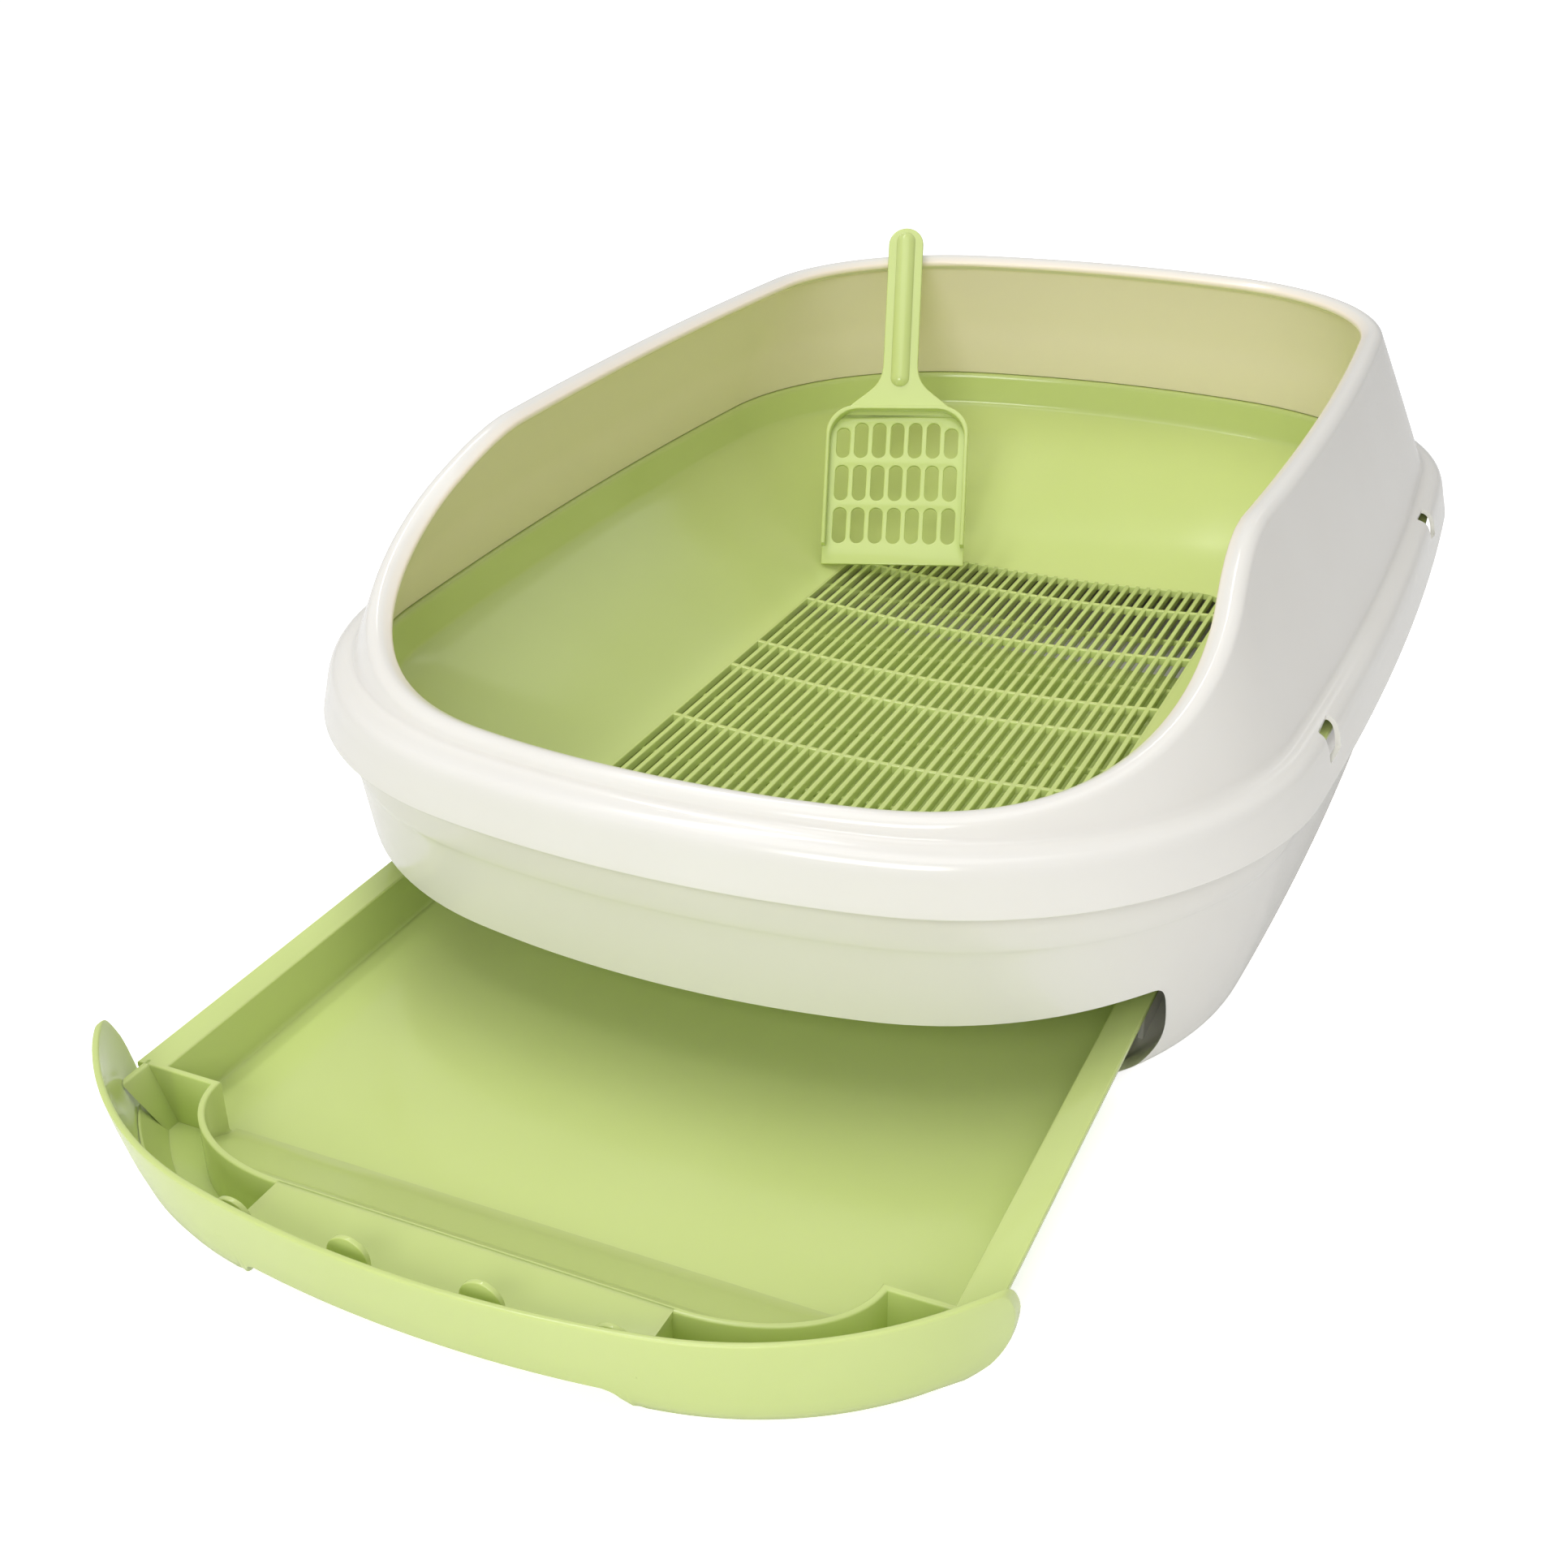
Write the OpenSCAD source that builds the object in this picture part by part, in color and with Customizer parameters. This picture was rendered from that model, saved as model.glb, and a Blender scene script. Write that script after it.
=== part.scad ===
// Drawer litter box: a tub with a pull-out drawer, a sieve basin hung in its
// rim, a raised splash guard clipped over both, and a scoop stood in the basin.
// Millimetres. X is to the right, Y to the back, Z up. The origin is on the floor
// at the middle of the whole part with its drawer open towards -Y. The shapes are
// drawn around the centre of the tub, and centred() moves each finished piece.

/* [Body] */
// Width over the skirt of the splash guard
body_w = 420; // [400:1:440]
// Length over the skirt of the splash guard
body_l = 616; // [600:1:630]
// Radius of the bowed front and back edges
end_r = 446; // [420:1:500]
// Radius of the four corners in plan
corner_r = 150; // [140:1:160]
// Radius of the slightly bowed sides
side_r = 2400; // [2000:10:3000]
// Thickness of the moulded walls
wall = 3; // [2.5:0.1:3.5]

/* [Tub] */
// Height of the tub's rim above the floor
tub_h = 114; // [112:1:116]
// Height of the tub's underside above the floor, on its pads
tub_lift = 1; // [0.8:0.1:1.4]
// Top of the drawer opening at its middle
opening_top = 51.2; // [50:0.1:54]
// Lower edge of the drawer opening, level with the rails
sill_z = 8.2; // [8:0.1:9]
// Room around the drawer front in its opening
opening_gap = 0.9; // [0.8:0.1:1.4]

/* [Guard] */
// Bottom edge of the skirt
skirt_z = 104; // [102:1:106]
// Height of the foot of the raised wall
foot_z = 125; // [124:0.5:126]
// Height of the inner edge of the lip at the front
lip_front_z = 130; // [130:1:140]
// Height of the inner edge of the lip at the sides and back
lip_back_z = 190; // [180:1:200]
// Where the lip starts to rise, measured along Y
rise_start_y = -272; // [-280:1:-255]
// Where the lip reaches its full height, measured along Y
rise_end_y = -112; // [-130:1:-90]
// Inward lean of the raised wall, per millimetre of height
lean = 0.44; // [0.38:0.01:0.46]
// Width of the lip
lip_w = 11; // [9:0.5:13]

/* [Basin] */
// Height of the basin's rim
basin_rim_z = 116.8; // [116.6:0.1:117.2]
// Height of the shoulder where the steep band ends
shoulder_z = 98; // [94:1:100]
// Height of the grate at its edges
grate_z = 46; // [46:0.5:50]
// Half the width of the grate
grate_half_w = 104.4; // [100:0.2:108]
// Front end of the grate
grate_front_y = -174; // [-180:1:-165]
// Length of the grate
grate_l = 342; // [330:1:350]
// Dip of the grate between its edges
grate_dip = 5; // [0:0.5:5]
// Number of slots across the grate
slot_count = 36; // [30:1:38]
// Width of one slot
slot_w = 3.4; // [3:0.1:3.8]

/* [Drawer] */
// How far the drawer stands open as modelled
drawer_open = 165; // [100:1:200]
// Half the width over the drawer's side flanges
drawer_half = 159; // [156:0.5:160]
// Height of the drawer's walls
drawer_top = 33; // [31:0.5:34]
// Thickness of the drawer's floor
tray_floor_t = 2; // [1.8:0.1:2.4]
// Back end of the tray with the drawer shut
tray_back_y = 232; // [200:1:240]
// Half the width of the drawer front
front_half = 167; // [165.5:0.1:167.5]

/* [Scoop] */
// Length of the scoop
scoop_l = 198; // [190:1:205]
// Width of the scoop's blade at its lip
scoop_w = 78; // [76:1:84]

/* [Hidden] */

half_w = body_w / 2;
half_l = body_l / 2;
white = "#F1EFEA";
green = "#A9C653";
rubber = "#8C8C88";

tray_wall = 2.5;
tray_in = drawer_half - 12;
slide_gap = 0.3;
tray_under = sill_z + slide_gap;
drawer_floor = tray_under + tray_floor_t;
tray_front_y = -253;
setback_y = -219;
bend_x = 72;
setback_x = 124;
tray_corner = 30;
front_t = 2.4;
clip_fit = 0.3;

// ---- Plan outline: arcs for the sides, corners and ends, tangent to each other

side_centre = [half_w - side_r, 0];
end_centre = [0, half_l - end_r];
centre_gap = norm(end_centre - side_centre);
centre_dir = (end_centre - side_centre) / centre_gap;
corner_along = (pow(side_r - corner_r, 2) - pow(end_r - corner_r, 2) + pow(centre_gap, 2))
               / (2 * centre_gap);
corner_across = sqrt(pow(side_r - corner_r, 2) - pow(corner_along, 2));
corner_centre = side_centre + corner_along * centre_dir
                + corner_across * [-centre_dir.y, centre_dir.x];
side_end_a = atan2(corner_centre.y - side_centre.y, corner_centre.x - side_centre.x);
corner_end_a = atan2(corner_centre.y - end_centre.y, corner_centre.x - end_centre.x);
side_steps = 3;
corner_steps = 9;
end_steps = 4;

function arc(c, r, a0, a1, steps) =
    [for (i = [0:steps - 1]) c + r * [cos(a0 + (a1 - a0) * i / steps),
                                      sin(a0 + (a1 - a0) * i / steps)]];

// One quarter of the outline, moved inwards by d, without its last point
function quarter(d) = concat(
    arc(side_centre, side_r - d, 0, side_end_a, side_steps),
    arc(corner_centre, corner_r - d, side_end_a, corner_end_a, corner_steps),
    arc(end_centre, end_r - d, corner_end_a, 90, end_steps));

function turned_back(list) = [for (i = [len(list) - 1:-1:0]) list[i]];

// The whole outline, counter-clockwise from +X, moved inwards by d
function outline(d) = let (q = quarter(d), top = [0, half_l - d], side = [half_w - d, 0],
                           rest = [for (i = [1:len(q) - 1]) q[i]],
                           back = turned_back(rest)) concat(
    [side], rest, [top], [for (p = back) [-p.x, p.y]],
    [[-side.x, 0]], [for (p = rest) [-p.x, -p.y]], [[0, -top.y]],
    [for (p = back) [p.x, -p.y]]);

function ring(d, z) = [for (p = outline(d)) [p.x, p.y, z]];

// ---- Skins through a list of rings that all have the same number of points

function bands(k, n, wrap) = [for (i = [0:k - (wrap ? 1 : 2)], j = [0:n - 1])
    let (a = i * n + j, b = i * n + (j + 1) % n,
         c = ((i + 1) % k) * n + (j + 1) % n, d = ((i + 1) % k) * n + j)
    each [[a, d, c], [a, c, b]]];

module vessel(rings) {
    n = len(rings[0]);
    k = len(rings);
    first = [for (j = [0:n - 1]) j];
    last = [for (j = [n - 1:-1:0]) (k - 1) * n + j];
    polyhedron([for (r = rings) each r], concat([first, last], bands(k, n, false)));
}

module hoop(rings) {
    polyhedron([for (r = rings) each r], bands(len(rings), len(rings[0]), true));
}

// ---- Tub

// Inset of the tub's outer face, by height: a well rounded foot, a drafted wall
// and a shallow step under the skirt
tub_faces = [[41, tub_lift], [37.6, 3.5], [31.6, 8.5], [25.4, 14], [22.9, 18.5], [19.6, 30],
             [16.3, 45], [13.8, 60], [10.6, 84], [9.2, 87], [8, tub_h]];
tub_floor = tub_lift + wall;

// Inset of the tub's outer face at height z
function tub_inset(z) = lookup(z, [for (f = tub_faces) [f[1], f[0]]]);

// Level thickness of the wall at height z, which keeps its true thickness as it leans
function wall_run(z) = wall * norm([1, (tub_inset(z - 1) - tub_inset(z + 1)) / 2]);

opening_depth = 130;
sill_y = half_l - opening_depth;
front_low = sill_z + 1.6;
// The top edges of the opening and of the drawer front bow up towards the sides
top_bow = 4;
function bowed_top(x, z) = z + top_bow * pow(x / front_half, 2);
// Places along a bowed top edge, as shares of half the drawer front's width
top_steps = [0.95, 0.89, 0.78, 0.63, 0.48, 0.3, 0.15, 0];
function bowed_edge(z) = [for (s = top_steps) [s * front_half, bowed_top(s * front_half, z)]];

// Right half of the drawer front, seen from the front, from the bottom up
function front_low_view() = [
    [0, front_low], [125, front_low + 0.3], [front_half - 24, front_low + 0.9],
    [front_half - 17, front_low + 2.3], [front_half - 10.4, front_low + 5.4],
    [front_half - 5.6, front_low + 9.8], [front_half - 2.2, front_low + 17],
    [front_half - 0.6, front_low + 25], [front_half, front_low + 32]];
function front_top_view() = let (z = opening_top - opening_gap)
    concat([[front_half - 0.3, z - 4], [front_half - 1, z + 0.6], [front_half - 2.4, z + 3]],
           bowed_edge(z));

// The open drawer adds this to the front of the tub's skirt
front_reach = drawer_open - tub_inset(opening_top - opening_gap);

// Moves a piece so that the origin is in the middle between the open front and the back
module centred() {
    translate([0, front_reach / 2, 0]) children();
}

// Both halves of a view whose right half runs from the bottom to the top
module both_halves(half) {
    polygon(concat(half, [for (p = turned_back(half)) if (p.x > 0) [-p.x, p.y]]));
}

module front_view() {
    both_halves(concat(front_low_view(), front_top_view()));
}

module opening_view() {
    g = opening_gap;
    half = front_half + g;
    both_halves(concat(
        [[0, sill_z], [half - 16, sill_z], [half - 11.5, sill_z + 3.6],
         [half - 5.3, front_low + 9], [half - 2, front_low + 15.4],
         [half - 0.4, front_low + 23], [half, front_low + 31],
         [half - 0.1, opening_top - 3], [half - 0.6, opening_top + 1.2],
         [half - 2, opening_top + 3.4]],
        bowed_edge(opening_top)));
}

// A view from the front made solid, from the skin of the tub back to y_back
module from_front(y_back) {
    translate([0, y_back, 0]) rotate([90, 0, 0]) linear_extrude(half_l + y_back + 10) children();
}

module base_tub() {
    rim_in = tub_faces[len(tub_faces) - 1][0] + wall;
    color(white) centred()
    difference() {
        union() {
            difference() {
                vessel([for (f = tub_faces) ring(f[0], f[1])]);
                vessel(concat(
                    [ring(tub_inset(tub_floor) + wall_run(tub_floor), tub_floor)],
                    [for (f = tub_faces) if (f[1] > tub_floor && f[1] < tub_h)
                        ring(f[0] + wall_run(f[1]), f[1])],
                    [ring(rim_in, tub_h), ring(rim_in, tub_h + 1)]));
            }
            rails();
        }
        // Drawer opening through the front wall
        from_front(-sill_y) opening_view();
        for (sx = [-1, 1], sy = [-1, 1])
            translate([sx * pad_x, sy * pad_y, tub_lift - 1])
                cylinder(r = pad_r + 0.2, h = 1 + pad_sink, $fn = 48);
    }
}

// Rails on the tub's floor: four that carry the drawer, level with the sill,
// and two taller ones that guide its sides
module rails() {
    intersection() {
        union() {
            for (x = carry_x) translate([x - rail_w / 2, -rail_end, tub_floor - 0.5])
                cube([rail_w, 2 * rail_end, sill_z - tub_floor + 0.5]);
            for (s = [-1, 1]) translate([s * guide_x - rail_w / 2, -guide_end, tub_floor - 0.5])
                cube([rail_w, 2 * guide_end, guide_h]);
        }
        linear_extrude(tub_h) polygon(outline(tub_inset(tub_floor) + 1));
    }
}

rail_w = 2.5;
rail_end = 262;
carry_x = [-118, -40, 40, 118];
guide_x = tray_in + tray_wall + 3;
guide_end = 190;
guide_h = 16;

// ---- Rubber pads pressed into the tub's underside

pad_x = 120;
pad_y = 215;
pad_r = 11;
pad_sink = 1.3;

module foot_pad(sx, sy) {
    color(rubber) centred()
    translate([sx * pad_x, sy * pad_y, 0])
        cylinder(r = pad_r, h = tub_lift + pad_sink - 0.1, $fn = 48);
}

// ---- Basin

basin_t = 2.5;
flange_out = 7.2;
flange_in = 19;
band_in = 22;

// A point of the grate's rounded edge in the direction of p
function grate_edge(p, grow) =
    let (c = grate_front_y + grate_l / 2, hx = grate_half_w + grow, hy = grate_l / 2 + grow,
         q = [p.x, p.y - c], m = pow(pow(abs(q.x) / hx, 12) + pow(abs(q.y) / hy, 12), 1 / 12))
    [q.x / m, c + q.y / m];

// Height of the dished grate surface at x
function dip(x) = -grate_dip * (1 - pow(min(abs(x) / grate_half_w, 1), 2));

slope_steps = 6;
function fall(t) = 1 - pow(1 - t, 1.35);

// Sloped part of the basin, from the shoulder (t = 0) to the grate (t = 1)
function slope_ring(t, down, grow) = [for (p = outline(band_in + 1.5))
    let (g = grate_edge(p, grow), q = p + (g - p) * t,
         end_z = grate_z + dip(g.x))
    [q.x, q.y, shoulder_z + (end_z - shoulder_z) * fall(t) - down]];

module basin_bowl() {
    hoop(concat(
        [ring(flange_out, basin_rim_z - basin_t), ring(flange_out, basin_rim_z),
         ring(flange_in, basin_rim_z), ring(flange_in + 1, basin_rim_z - 2),
         ring(band_in, shoulder_z + 2)],
        [for (i = [0:slope_steps]) slope_ring(i / slope_steps, 0, 0)],
        [for (i = [slope_steps:-1:0]) slope_ring(i / slope_steps, basin_t + 0.6, 0)],
        [ring(band_in - basin_t, shoulder_z - 1),
         ring(flange_in - basin_t + 0.5, basin_rim_z - basin_t)]));
}

unit = grate_l / 11;
full_ribs = [0, 1, 3, 5, 6, 8, 10, 11];
low_ribs = [2, 4, 7, 9];
rib_w = 2.6;
bar_pitch = 2 * grate_half_w / slot_count;
grate_t = 4;

// Plan of the grate: slots in rows between the full ribs
module grate_plan() {
    difference() {
        translate([-grate_half_w - 3, grate_front_y - 3])
            square([2 * grate_half_w + 6, grate_l + 6]);
        for (row = [0:len(full_ribs) - 2], i = [0:slot_count - 1]) {
            y0 = grate_front_y + full_ribs[row] * unit + rib_w / 2;
            y1 = grate_front_y + full_ribs[row + 1] * unit - rib_w / 2;
            translate([-grate_half_w + (i + 0.5) * bar_pitch - slot_w / 2, y0])
                square([slot_w, y1 - y0]);
        }
    }
}

dish_steps = 8;
// Side view of the dished plate, from x = -w to w
module dished_strip(w, top, t) {
    xs = [for (i = [-dish_steps:dish_steps]) i * w / dish_steps];
    polygon(concat([for (x = xs) [x, top + dip(x)]],
                   [for (x = turned_back(xs)) [x, top + dip(x) - t]]));
}

module grate() {
    intersection() {
        translate([0, 0, grate_z - grate_dip - grate_t - 1])
            linear_extrude(grate_dip + grate_t + 3) grate_plan();
        translate([0, grate_front_y + grate_l + 4, 0]) rotate([90, 0, 0])
            linear_extrude(grate_l + 8) dished_strip(grate_half_w + 2.2, grate_z, grate_t);
    }
    for (u = low_ribs)
        translate([0, grate_front_y + u * unit + 1.2, 0]) rotate([90, 0, 0])
            linear_extrude(2.4) dished_strip(grate_half_w + 1, grate_z - grate_t + 0.4, 2.6);
}

module sieve_basin() {
    color(green) centred() {
        basin_bowl();
        grate();
    }
}

// ---- Splash guard

guard_t = 3.4;
seat_gap = 0.3;

// Outer and inner face of the skirt: inset, and share of the height up to the foot
skirt_face = [[0, 0], [2, 0.38], [3.4, 0.695], [5.4, 0.886], [8.6, 0.967], [13, 1]];
skirt_back = [[10.5, 0.79], [7, 0.724], [6.4, 0.524], [3, 0]];
function skirt_rings(face) = [for (f = face) ring(f[0], skirt_z + f[1] * (foot_z - skirt_z))];

function eased(t) = let (u = min(max(t, 0), 1)) u * u * (3 - 2 * u);
// Height of the lip's inner edge where the outline, moved in by 35, is at y
function lip_z(y) = lip_front_z + (lip_back_z - lip_front_z)
                    * eased((y - rise_start_y) / (rise_end_y - rise_start_y));

// A ring of the raised wall. Each point's inset and height follow the lip there:
// inset = base + lean_part of the lean, height = from the foot to the lip by up
function wall_ring(base, lean_part, up, dz) =
    let (o = outline(0), m = outline(1), ref = outline(35))
    [for (i = [0:len(o) - 1])
        let (h = lip_z(ref[i].y), d = base + lean_part * lean * (h - lip_front_z), n = m[i] - o[i])
        [o[i].x + n.x * d, o[i].y + n.y * d, foot_z + (h - foot_z) * up + dz]];

module guard_shell() {
    foot_in = 14.5;
    seat_z = basin_rim_z + seat_gap;
    hoop(concat(skirt_rings(skirt_face), [
        ring(foot_in, foot_z + 1.2), wall_ring(foot_in, 0.5, 0.5, 0), wall_ring(foot_in, 1, 1, -2),
        wall_ring(foot_in + 1, 1, 1, 0.4), wall_ring(foot_in + 3.8, 1, 1, 2.4),
        wall_ring(foot_in + 7, 1, 1, 2.1), wall_ring(foot_in + lip_w, 1, 1, -0.4),
        wall_ring(foot_in + lip_w, 1, 1, -2.6), wall_ring(foot_in + guard_t + 1.5, 1, 1, -5.4),
        wall_ring(foot_in + guard_t + 0.2, 0.4, 0.4, -3),
        ring(foot_in + guard_t, seat_z), ring(foot_in, seat_z)],
        skirt_rings(skirt_back)));
}

window_l = 16;
window_h = 20;
window_y = [-139, 105];
window_out = 4.2;
window_in = 12.2;
window_low = 117.4;

module splash_guard() {
    color(white) centred()
    difference() {
        guard_shell();
        for (s = [-1, 1], y = window_y)
            translate([s * (half_w - (window_out + window_in) / 2), y, window_low + window_h / 2])
                cube([window_in - window_out, window_l, window_h], center = true);
    }
}

// ---- Drawer

// Plan of the tray's inside, grown by g: rounded back corners, and a front wall
// that steps back through a curve towards each side
function tray_plan(g) = let (
    c = [tray_in - tray_corner, tray_back_y - tray_corner],
    bend = [for (i = [0:8]) let (a = i * 90 / 8)
        [bend_x + (setback_x - bend_x + g) * cos(a),
         min(setback_y - g, setback_y - (setback_y - tray_front_y + g) * sin(a))]],
    half = concat(turned_back(bend), [[tray_in + g, setback_y - g]], arc(c, tray_corner + g, 0, 90, 6),
                  [[c.x, tray_back_y + g]]))
    concat(half, [for (p = turned_back(half)) [-p.x, p.y]]);

// Heights at which the drawer front's skin bends, as the tub's wall does
front_levels = [for (f = tub_faces) if (f[1] < opening_top + 15) f[1]];

// Everything inside the drawer front's skin, less the fit between the two
module behind_front() {
    vessel([for (z = front_levels) ring(tub_inset(z) + front_t + clip_fit, z)]);
}

shelf_half = 72;
shelf_t = 2.5;
tab_x = [-67, -23.5, 23.5, 67];
tab_half = 7.5;
tab_top = 48.4;
tab_y = -281.6;
tab_t = 2;
peg_w = 5.4;
peg_h = 3.4;
peg_z = drawer_top + 2.2;

module tray_flange() {
    difference() {
        polygon(tray_plan(drawer_half - tray_in));
        polygon(tray_plan(0));
        translate([-tray_in, -half_l]) square([2 * tray_in, half_l + setback_y - tray_wall]);
        translate([-drawer_half, -half_l]) square([2 * drawer_half, half_l + setback_y - tray_wall]);
    }
}

module drawer_tray() {
    color(green) centred()
    translate([0, -drawer_open, 0]) intersection() {
        union() {
            tray_bin();
            tray_shelf();
            bay_floors();
            bay_ends();
        }
        behind_front();
    }
}

// The tray itself, with the ramp up to its front wall and the flange around it
module tray_bin() {
    translate([0, 0, tray_under]) difference() {
        linear_extrude(drawer_top - tray_under) polygon(tray_plan(tray_wall));
        translate([0, 0, tray_floor_t]) linear_extrude(drawer_top) polygon(tray_plan(0));
    }
    translate([0, 0, drawer_top - 2.5]) linear_extrude(2.5) tray_flange();
    intersection() {
        translate([-tray_in, 0, 0]) rotate([90, 0, 90]) linear_extrude(2 * tray_in)
            polygon([[tray_front_y - 1, tray_under], [tray_front_y + 34, tray_under],
                     [tray_front_y + 34, drawer_floor], [tray_front_y + 3, drawer_top - 3],
                     [tray_front_y - 1, drawer_top - 3]]);
        translate([0, 0, tray_under]) linear_extrude(drawer_top) polygon(tray_plan(0.5));
    }
}

// Floors of the bays on both sides of the shelf
module bay_floors() {
    half = bay_x(tray_under) + tray_wall;
    translate([0, 0, tray_under]) linear_extrude(tray_floor_t) difference() {
        translate([-half, -half_l]) square([2 * half, half_l + setback_y]);
        polygon(tray_plan(tray_wall - 0.5));
        translate([-shelf_half, -half_l]) square([2 * shelf_half, half_l + tray_front_y]);
    }
}

// Outer ends of the bays: a wall that leans outwards as it rises, and a cheek
// that joins it to the tray's corner
bay_foot = tray_in - 2;
bay_lean = 0.4;
function bay_x(z) = bay_foot + bay_lean * (z - drawer_floor);

module bay_ends() {
    low = tray_under;
    x0 = bay_x(low);
    x1 = bay_x(drawer_top);
    for (m = [0, 1]) mirror([m, 0, 0]) translate([0, setback_y, 0]) rotate([90, 0, 0]) {
        linear_extrude(half_l + setback_y)
            polygon([[x0, low], [x0 + tray_wall, low], [x1 + tray_wall, drawer_top], [x1, drawer_top]]);
        linear_extrude(tray_wall)
            polygon([[x0, low], [x0 + tray_wall, low], [x1 + tray_wall, drawer_top], [x0, drawer_top]]);
    }
}

// Shelf between the tray and the drawer front, its two ends, and the four
// upright tabs that the drawer front's pegs snap through
module tray_shelf() {
    translate([-shelf_half, -half_l, drawer_top - shelf_t])
        cube([2 * shelf_half, half_l + tray_front_y - tray_wall / 2, shelf_t]);
    for (s = [-1, 1])
        translate([s * (shelf_half - tray_wall / 2) - tray_wall / 2, -half_l, tray_under])
            cube([tray_wall, half_l + tray_front_y, drawer_top - tray_under]);
    for (x = tab_x) translate([x, tab_y + tab_t / 2, 0]) rotate([90, 0, 0]) linear_extrude(tab_t)
        difference() {
            union() {
                translate([-tab_half, drawer_top - 1])
                    square([2 * tab_half, tab_top - tab_half - drawer_top + 1]);
                translate([0, tab_top - tab_half]) circle(tab_half, $fn = 48);
            }
            translate([-peg_w / 2 - clip_fit, peg_z - clip_fit])
                square([peg_w + 2 * clip_fit, peg_h + 2 * clip_fit]);
        }
}

recess_half = 74;
recess_h = 12;

// Finger recess in the lower edge, its ends eased by two bends
module recess_view() {
    low = front_low - 2;
    ease = [[0, 0], [0, 2], [3, 3.5], [5.5, 8], [8, 12.5], [12, recess_h + 2]];
    polygon(concat([for (e = ease) [e.x - recess_half, low + e.y]],
                   [for (e = turned_back(ease)) [recess_half - e.x, low + e.y]]));
}

module drawer_front() {
    top = front_levels[len(front_levels) - 1] + 1;
    color(green) centred()
    translate([0, -drawer_open, 0]) {
        intersection() {
            difference() {
                vessel([for (z = front_levels) ring(tub_inset(z), z)]);
                vessel([for (z = concat([0], front_levels, [top])) ring(tub_inset(z) + front_t, z)]);
            }
            from_front(-sill_y) difference() {
                front_view();
                recess_view();
            }
        }
        // Pegs that reach through the tabs, each with a barb that snaps up behind
        for (x = tab_x) {
            y = behind_skin(x, tub_inset(peg_z) + front_t / 2);
            translate([x - peg_w / 2, y, peg_z]) cube([peg_w, tab_y + peg_past - y, peg_h]);
            translate([x - peg_w / 2, tab_y + tab_t / 2 + clip_fit, peg_z])
                cube([peg_w, peg_past - tab_t / 2 - clip_fit, peg_h + barb_h]);
        }
    }
}

peg_past = 4;
barb_h = 1.2;

// Where the bowed front end, moved in by d, stands at x
function behind_skin(x, d) = -(end_centre.y + sqrt(pow(end_r - d, 2) - x * x));

// ---- Scoop, drawn flat: its lip at the origin, the handle along +Y, face up

blade_l = 90;
blade_t = 2;
edge_h = 8;
edge_t = 2;
neck_l = 112;
handle_w = 19.4;
shoulder_w = 78.6;

module blade_plan(grow) {
    r = 16;
    x0 = scoop_w / 2 + grow;
    x1 = shoulder_w / 2 + grow;
    top = blade_l + grow;
    polygon(concat([[-x0, 0], [x0, 0]],
        arc([x1 - r, top - r], r, 0, 90, 8), arc([-x1 + r, top - r], r, 90, 180, 8),
        [[-x1, top - r]]));
}

// Neck that narrows from the blade to the handle
module neck_plan() {
    h = handle_w / 2;
    polygon([[-34, blade_l - 5], [34, blade_l - 5], [26, blade_l + 3], [17, blade_l + 10],
             [h + 2.5, neck_l - 7], [h, neck_l], [h, neck_l + 8], [-h, neck_l + 8], [-h, neck_l],
             [-h - 2.5, neck_l - 7], [-17, blade_l + 10], [-26, blade_l + 3]]);
}

module slot(w, l) {
    translate([0, w / 2]) circle(d = w, $fn = 32);
    translate([0, l - w / 2]) circle(d = w, $fn = 32);
    translate([-w / 2, w / 2]) square([w, l - w]);
}

module scoop_flat() {
    slot_rows = [[12, 20.5], [36.6, 20.5], [61.4, 20.5]];
    linear_extrude(blade_t) difference() {
        blade_plan(0);
        for (i = [-3:3], row = slot_rows)
            translate([i * 10, row[0]]) slot(7.4, row[1] - (row[0] > 60 && abs(i) == 3 ? 3 : 0));
    }
    linear_extrude(edge_h) difference() {
        blade_plan(0);
        translate([0, -1]) blade_plan(-edge_t);
        translate([-scoop_w, -1]) square([2 * scoop_w, 11]);
    }
    linear_extrude(3) neck_plan();
    linear_extrude(3) union() {
        translate([-handle_w / 2, neck_l]) square([handle_w, scoop_l - neck_l - handle_w / 2]);
        translate([0, scoop_l - handle_w / 2]) circle(d = handle_w, $fn = 64);
    }
    // Half-round grip along the handle
    intersection() {
        union() {
            translate([0, neck_l - 4, 0]) rotate([-90, 0, 0])
                cylinder(d = 12, h = scoop_l - neck_l - 4, $fn = 48);
            translate([0, neck_l - 4, 0]) sphere(d = 12, $fn = 48);
            translate([0, scoop_l - 8, 0]) sphere(d = 12, $fn = 48);
        }
        translate([-20, 0, 1]) cube([40, 2 * scoop_l, 20]);
    }
}

// Where the middle of the blade's lip stands: its distances from the left side and
// the back of the skirt, and its height above the edges of the grate
scoop_from_side = 134.7;
scoop_from_back = 183;
scoop_above = 4.4;
scoop_foot = [scoop_from_side - half_w, half_l - scoop_from_back, grate_z + scoop_above];
scoop_turn = 16;
scoop_lean = 51.9;
scoop_roll = 1.7;

module litter_scoop() {
    color(green) centred()
    translate(scoop_foot) rotate([0, 0, scoop_turn]) rotate([scoop_lean, 0, 0])
        rotate([0, 0, scoop_roll]) scoop_flat();
}

base_tub();
sieve_basin();
splash_guard();
drawer_tray();
drawer_front();
litter_scoop();
foot_pad(-1, -1);  // foot_pad_front_left
foot_pad(1, -1);  // foot_pad_front_right
foot_pad(-1, 1);  // foot_pad_back_left
foot_pad(1, 1);  // foot_pad_back_right
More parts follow.
